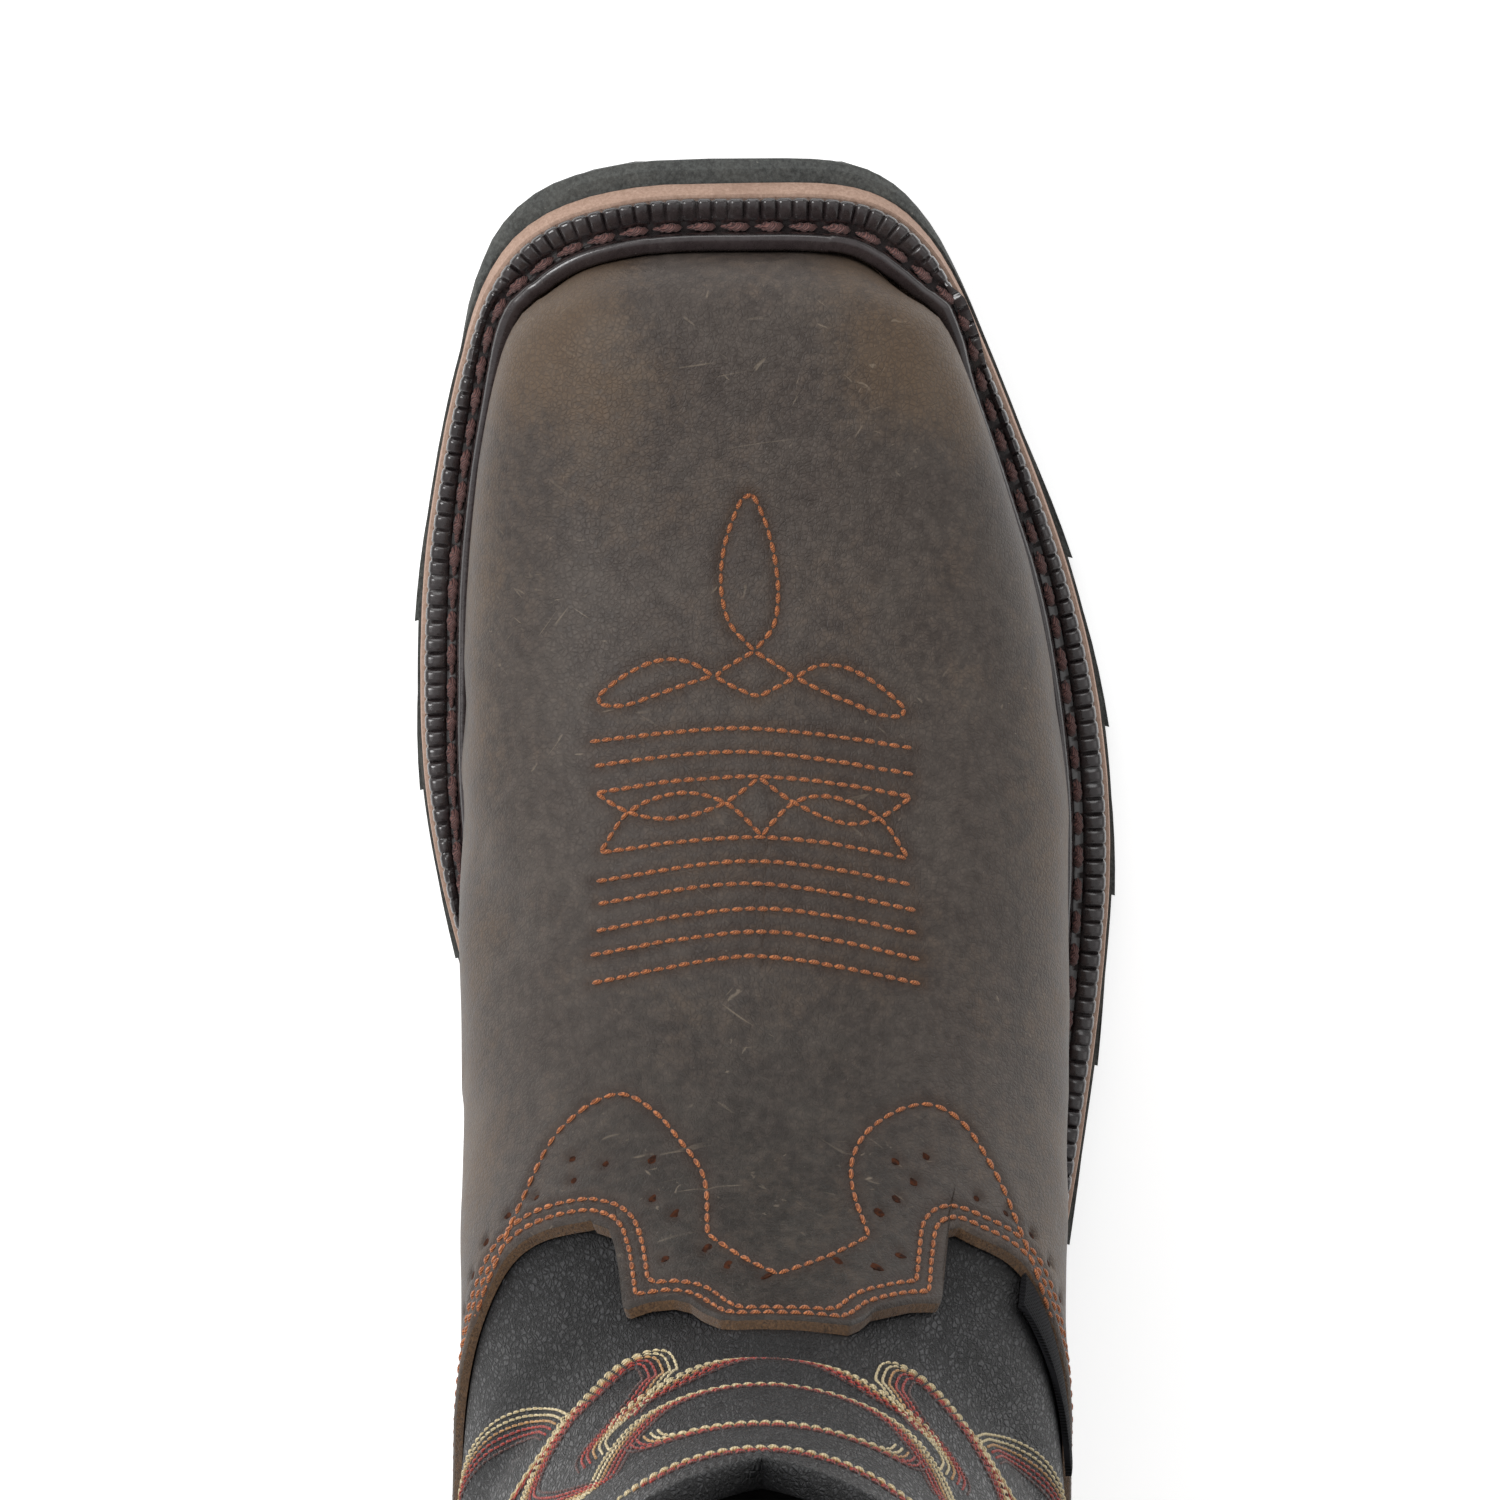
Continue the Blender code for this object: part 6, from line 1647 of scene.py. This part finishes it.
loops = []
for j in range(shaft_out.shape[1]):
    below, tip_point, normal = shaft_out[-8, j], shaft[-1, j], shaft_normal[-3, j] * (1, 1, 0.2)
    upward = tip_point - below
    upward /= np.linalg.norm(upward)
    normal = normal - upward * (normal @ upward)
    normal /= np.linalg.norm(normal)
    pucker = 1 + 0.10 * math.sin(j * 1.9) + 0.06 * math.sin(j * 4.3)
    loop = []
    for number, (side, rise) in enumerate(BINDING_PROFILE):
        side = side * (pucker if 2 <= number <= 12 and side > 0 else 1.0)
        loop.append(tip_point + upward * rise + normal * side)
    loops.append(loop)
place(sweep("collar_roll", np.array(loops), [BLACK], closed=True), "black_leather", "collar_binding")

# %% Pull straps
STRAP_WIDTH, STRAP_THICKNESS, STRAP_DROP, STRAP_LOOP = 0.030, 0.0022, 0.050, 0.016
SEAM_TOP_TURN = 0.5
BLACK_PITCH, STRAP_THREAD = 0.0024, 0.00036


def strap_route():
    """The strap's middle line seen from its edge, as (out from the shaft, up from the collar)."""
    clear = 2 * FIT_GAP + BINDING_THICKNESS + STRAP_THICKNESS / 2
    inner = -(WALL + clear)
    bend, centre = (clear - inner) / 2, (clear + inner) / 2
    legs = [(clear, -u) for u in np.linspace(STRAP_DROP, 0.0, 26)]
    loop = [(clear, u) for u in np.linspace(0.001, STRAP_LOOP - bend - 0.001, 6)]
    turns = np.linspace(0, math.pi, 15)
    arc = [(centre + bend * math.cos(a), STRAP_LOOP - bend * (1 - math.sin(a))) for a in turns]
    return np.array(legs + loop + arc + [(inner, u) for _, u in loop[::-1] + legs[::-1]])


def seam_top(side):
    """The meridian that a side seam and a strap reach at the collar."""
    shares = np.linspace(0.2, 0.95, 200)
    return side * float(np.interp(SEAM_TOP_TURN, [abs(collar_turn(s)) for s in shares], shares))


def strap(name, side):
    """A folded strap over the collar, sewn down both edges and across its lower end."""
    route = strap_route()
    run = np.gradient(route, axis=0)
    run /= np.linalg.norm(run, axis=1)[:, None]
    across = np.stack([run[:, 1], -run[:, 0]], axis=1) * STRAP_THICKNESS / 2
    centre = seam_top(side)
    gap = np.linalg.norm(frame_at(centre + 0.01)[1][0] - frame_at(centre - 0.01)[1][0]) / 0.02
    sheets = [[], []]
    for place_on in np.linspace(-1, 1, 17):
        down, points, normals = frame_at(centre + place_on * STRAP_WIDTH / 2 / gap)
        rise = (points[0] - points[3]) / np.linalg.norm(points[0] - points[3])
        thin = (1 - abs(place_on) ** 10 * 0.45)
        for rows, sign in zip(sheets, (1, -1)):
            row = []
            for out_by, up_by in route + across * sign * thin:
                depth = max(-up_by, 0.0)
                base = np.array([np.interp(depth, down, points[:, k]) for k in range(3)])
                normal = np.array([np.interp(depth, down, normals[:, k]) for k in range(3)])
                row.append(base + rise * max(up_by, 0.0) + normal * out_by)
            rows.append(row)
    outer, inner = (np.array(rows).transpose(1, 0, 2) for rows in sheets)
    place(wall_between(name, outer, inner, [BLACK], ring=False, rim=0, back=0), "black_leather", name)
    tree = surface_tree([outer])
    seams = [settle(tree, evenly(line)) for line in (outer[1:24, 1], outer[1:24, 15], outer[1, 1:16])]
    stitches = sewn_piece(name + "_stitching", seams, BLACK_PITCH, STRAP_THREAD, COPPER, sink=0.4, lift=0.3)
    place(stitches, "black_leather")


SIDES = ((1, "medial"), (-1, "lateral"))
for side, word in SIDES:
    strap("pull_strap_" + word, side)

# %% Corded side seams
SEAM_STRIP_WIDTH = 0.0060
PIPING_STEP, PIPING_RISE, PIPING_THREAD = 0.0006, 0.0012, 0.00034


def side_seam(name, side, node):
    """A half-round strip up the shaft, from the brown leather to the pull strap."""
    top_column = seam_top(side)
    path = meridian(top_column)
    top_x = read_at(path, path, reach_height(path, collar_height(top_column)))[0]
    path = meridian(side * SIDE_SEAM_AT)
    low_x = read_at(path, path, reach_height(path, VAMP_SIDE_TOP))[0]
    loops = []
    around = np.linspace(-1, 1, 13)
    for z in np.linspace(VAMP_SIDE_TOP + 0.0045, SHAFT_TOP - STRAP_DROP - SEAM_STRIP_WIDTH, 110):
        x = low_x + (top_x - low_x) * (z - VAMP_SIDE_TOP) / (SHAFT_TOP - VAMP_SIDE_TOP)
        rows = []
        for a in around:
            start = Vector((x + a * SEAM_STRIP_WIDTH / 2, side * 0.2, z))
            hit, normal, _, _ = shaft_tree.ray_cast(start, Vector((0, -side, 0)))
            bead = 0.0013 * math.exp(-((a / 0.30) ** 2)) + 0.0007 * (1 - abs(a) ** 4)
            lift = Vector((normal.x, normal.y, 0)).normalized() * (1 if normal.y * side > 0 else -1)
            rows.append((hit + lift * (2 * FIT_GAP), hit + lift * (2 * FIT_GAP + 0.0002 + bead)))
        loops.append([r[0] for r in rows] + [r[1] for r in rows[::-1]])
    loops = np.array(loops)
    place(sweep(name, loops, [BLACK], closed=False), "black_leather", node)
    return loops


seams = []
for loops in [side_seam("side_piping_" + word, side, "side_seam_" + word) for side, word in SIDES]:
    for line in (loops[:, 15], loops[:, 23]):
        spots, facing = settle(shaft_tree, evenly(line, PIPING_STEP))
        away = line.mean(axis=0) - [0.03, 0, line[:, 2].mean()]
        sign = np.sign((facing * away).sum(axis=1))[:, None]
        seams.append((spots + facing * PIPING_RISE * sign, facing))
stitches = sewn_piece("side_piping_stitching", seams, BLACK_PITCH, PIPING_THREAD, COPPER, sink=0.4, lift=0.3)
place(stitches, "black_leather")

# %% Plain woven tab
TAB_LENGTH, TAB_HEIGHT, TAB_THICKNESS, TAB_CENTRE = 0.028, 0.008, 0.0013, 0.56
TAB_ROWS, TAB_COLUMNS = 22, 36


def cut_edge(column):
    """Where a meridian meets the brown leather's cut edge."""
    path = meridian(column)
    return read_at(path, path, leather_end(column, path))


def tab_stops(column, path):
    return leather_end(column, path) + np.linspace(FIT_GAP * 2, TAB_HEIGHT, TAB_ROWS)


gap = np.linalg.norm(cut_edge(-TAB_CENTRE) - cut_edge(-TAB_CENTRE - 0.01)) / 0.01
span = TAB_LENGTH / 2 / gap
base, normal = grid_over(np.linspace(-TAB_CENTRE + span, -TAB_CENTRE - span, TAB_COLUMNS), tab_stops)
height = np.linspace(0, 1, TAB_ROWS)[:, None, None]
outer = base + normal * (1.5 * FIT_GAP + TAB_THICKNESS * (0.62 + 0.38 * np.sin(height * np.pi * 0.95) ** 0.5))
tab = wall_between("woven_tab", outer, base + normal * (1.5 * FIT_GAP), [TAPE], ring=False, rim=0, back=0)
place(tab, "woven_black", "side_tab")
print(len(placed), "pieces so far")

# %% [markdown]
# ## Flame stitching on the shaft
# Western shafts are stitched in nested rows of coloured thread, which stiffen the leather and
# keep it from slouching. The lines are kept flat, as on the paper pattern: how far round the shaft
# and how high. Rays from outside carry them onto the leather. Six rows run side by side, and the
# same pattern is turned over for the other half and round to the back panel.

# %% Flame rows
AROUND = 48.0
AXIS_X = 0.031
MIRROR_AT = -2.0
ROW_STEP = 0.90
FLAME_PITCH, FLAME_THREAD = 0.0019, 0.00025
FLAMES = (
    ((68.0, 136.0), (66.0, 120.0), (60.0, 107.0), (54.0, 103.5), (48.0, 104.5), (42.0, 111.0),
     (36.5, 118.0), (32.6, 124.0), (30.0, 131.0), (28.0, 141.0)),
    ((19.7, 216.0), (25.0, 204.0), (30.0, 188.0), (33.0, 172.0), (31.5, 160.0), (27.5, 150.5),
     (23.5, 144.0), (19.5, 138.5), (16.2, 135.6),
     (13.8, 137.5), (12.8, 143.0), (12.8, 153.0), (14.2, 160.0), (18.5, 170.0), (21.5, 182.0),
     (21.0, 192.0)),
    ((17.0, 172.0), (15.7, 165.2), (12.3, 163.0), (8.3, 160.0), (4.1, 155.6), (0.5, 151.6), (-2.6, 150.2)),
    ((19.5, 216.1), (17.9, 201.0), (15.3, 189.3), (12.2, 181.1), (8.0, 176.5), (3.0, 173.8), (-2.6, 172.8)),
    ((14.5, 196.0), (13.6, 202.0), (11.8, 205.6), (7.9, 207.3), (2.6, 208.4), (-2.6, 208.6)),
    ((62.0, 190.0), (56.0, 176.0), (48.0, 163.0), (41.0, 157.0), (35.5, 154.5), (30.5, 151.0),
     (27.0, 147.5), (24.0, 141.5)),
    ((32.0, 262.0), (24.0, 253.0), (15.6, 246.2), (12.5, 241.4), (7.9, 237.3), (2.0, 235.0), (-2.6, 234.2)),
)


def row_beside(line, distance):
    """A flat line moved sideways, with the loops of tight bends taken out."""
    run = np.gradient(line, axis=0)
    run /= np.linalg.norm(run, axis=1)[:, None]
    moved = line + np.stack([run[:, 1], -run[:, 0]], axis=1) * distance
    tree = KDTree(len(line))
    for i, p in enumerate(line):
        tree.insert((p[0], p[1], 0), i)
    tree.balance()
    keep = [tree.find((p[0], p[1], 0))[2] >= abs(distance) * 0.93 for p in moved]
    return smooth_line(moved[keep], 3)


def on_shaft(line, turn):
    """Flat shaft places to points and normals of the leather."""
    found = []
    for u, v in line:
        angle = u / AROUND + turn
        way = Vector((math.cos(angle), math.sin(angle), 0))
        hit, normal, _, _ = shaft_tree.ray_cast(Vector((AXIS_X, 0, v * MM)) + way * 0.2, -way)
        if hit is not None and (hit.z < SHAFT_TOP - COLLAR_DIP - 0.006 or abs(way.y) > 0.75):
            found.append((*hit, *(normal if normal.dot(way) > 0 else -normal)))
    found = np.array(found)
    return found[:, :3], found[:, 3:]


rows = {"cream": [], "tan": [], "red": [], "brown": []}
ORDER = ("cream", "cream", "tan", "red", "red", "brown")
for flame in FLAMES:
    curve = catmull_rom(np.array(flame), False, each=10)
    curve = evenly(curve, 0.5)
    for number, tint in enumerate(ORDER):
        line = row_beside(curve, (number - 2.5) * ROW_STEP)
        if len(line) < 6:
            continue
        for mirrored in (False, True):
            half_line = line
            if mirrored:
                half_line = np.column_stack([2 * MIRROR_AT - line[:, 0], line[:, 1]])
            for turn in (0.0, math.pi):
                rows[tint].append(on_shaft(half_line, turn))
for tint, material in (("cream", CREAM), ("tan", SAND), ("red", RED), ("brown", UMBER)):
    flame = sewn_piece("flame_" + tint, rows[tint], FLAME_PITCH, FLAME_THREAD, material, sink=0.4, lift=0.5)
    place(flame, "black_leather")

# %% [markdown]
# ## Studio
# The boot stands on a plain pale floor and is seen from almost straight above the instep, slightly
# from the toe. Large soft lights and a bright world keep its shadows open. The camera's distance
# and focal length come from the way the toe and the collar line up in the view.

# %% Floor
floor_mesh = bpy.data.meshes.new("floor")
floor_mesh.from_pydata([(-4, -4, 0), (4, -4, 0), (4, 4, 0), (-4, 4, 0)], [], [(0, 1, 2, 3)])
PAPER, t, shader = finish_named("studio_paper", 0.9, specular=0.1)
paper = t.mix(t.noise(t.place(), 3.0), (0.95, 0.95, 0.95, 1), (0.97, 0.97, 0.97, 1))
t.join(paper, shader["Base Color"])
shader["Emission Color"].default_value = (1, 1, 1, 1)
shader["Emission Strength"].default_value = 0.56
floor_mesh.materials.append(PAPER)
floor = add_object("floor", floor_mesh)
floor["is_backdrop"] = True

# %% Lights
world = bpy.data.worlds.new("studio")
bpy.context.scene.world = world
world.use_nodes = True
background = world.node_tree.nodes["Background"].inputs
background["Color"].default_value = (1.0, 1.0, 1.0, 1)
background["Strength"].default_value = 0.50


def soft_light(name, at, aim, size, power, tint=(1, 1, 1)):
    light = bpy.data.lights.new(name, "AREA")
    light.shape, light.size, light.energy, light.color = "SQUARE", size, power, tint
    obj = add_object(name, light)
    obj.location = at
    obj.rotation_euler = (Vector(aim) - Vector(at)).to_track_quat("-Z", "Y").to_euler()


soft_light("key", (0.55, 1.1, 1.7), (0.12, 0, 0.1), 0.9, 22)
soft_light("fill", (0.3, -1.3, 1.5), (0.12, 0, 0.1), 1.2, 2.6)
soft_light("toe", (1.5, 0.1, 0.9), (0.2, 0, 0.05), 0.8, 4)

# %% Camera
CAMERA_ELEVATION = math.radians(83.0)
CAMERA_DISTANCE = 1.5
PHOTO_SIZE = 1500
FOCAL_PIXELS = 8775.0
SENSOR = 36.0
AIM = Vector((0.174, 0.0017, 0.02))
eye = AIM + CAMERA_DISTANCE * Vector((math.cos(CAMERA_ELEVATION), 0, math.sin(CAMERA_ELEVATION)))
ahead = (AIM - eye).normalized()
up_way = Vector((math.sin(CAMERA_ELEVATION), 0, -math.cos(CAMERA_ELEVATION)))
right = ahead.cross(up_way)
camera = bpy.data.cameras.new("camera")
camera.sensor_width, camera.lens = SENSOR, FOCAL_PIXELS / PHOTO_SIZE * SENSOR
camera.clip_end = 20
camera_object = add_object("camera", camera)
camera_object.matrix_world = Matrix.Translation(eye) @ Matrix((right, up_way, -ahead)).transposed().to_4x4()
bpy.context.scene.camera = camera_object
bpy.context.scene.view_settings.view_transform = "Standard"

# %% Sizes, and the end
bpy.context.view_layer.update()
low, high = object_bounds()
total = sum(len(p.data.polygons) for p in placed)
print(len(placed), "pieces,", total, "faces")
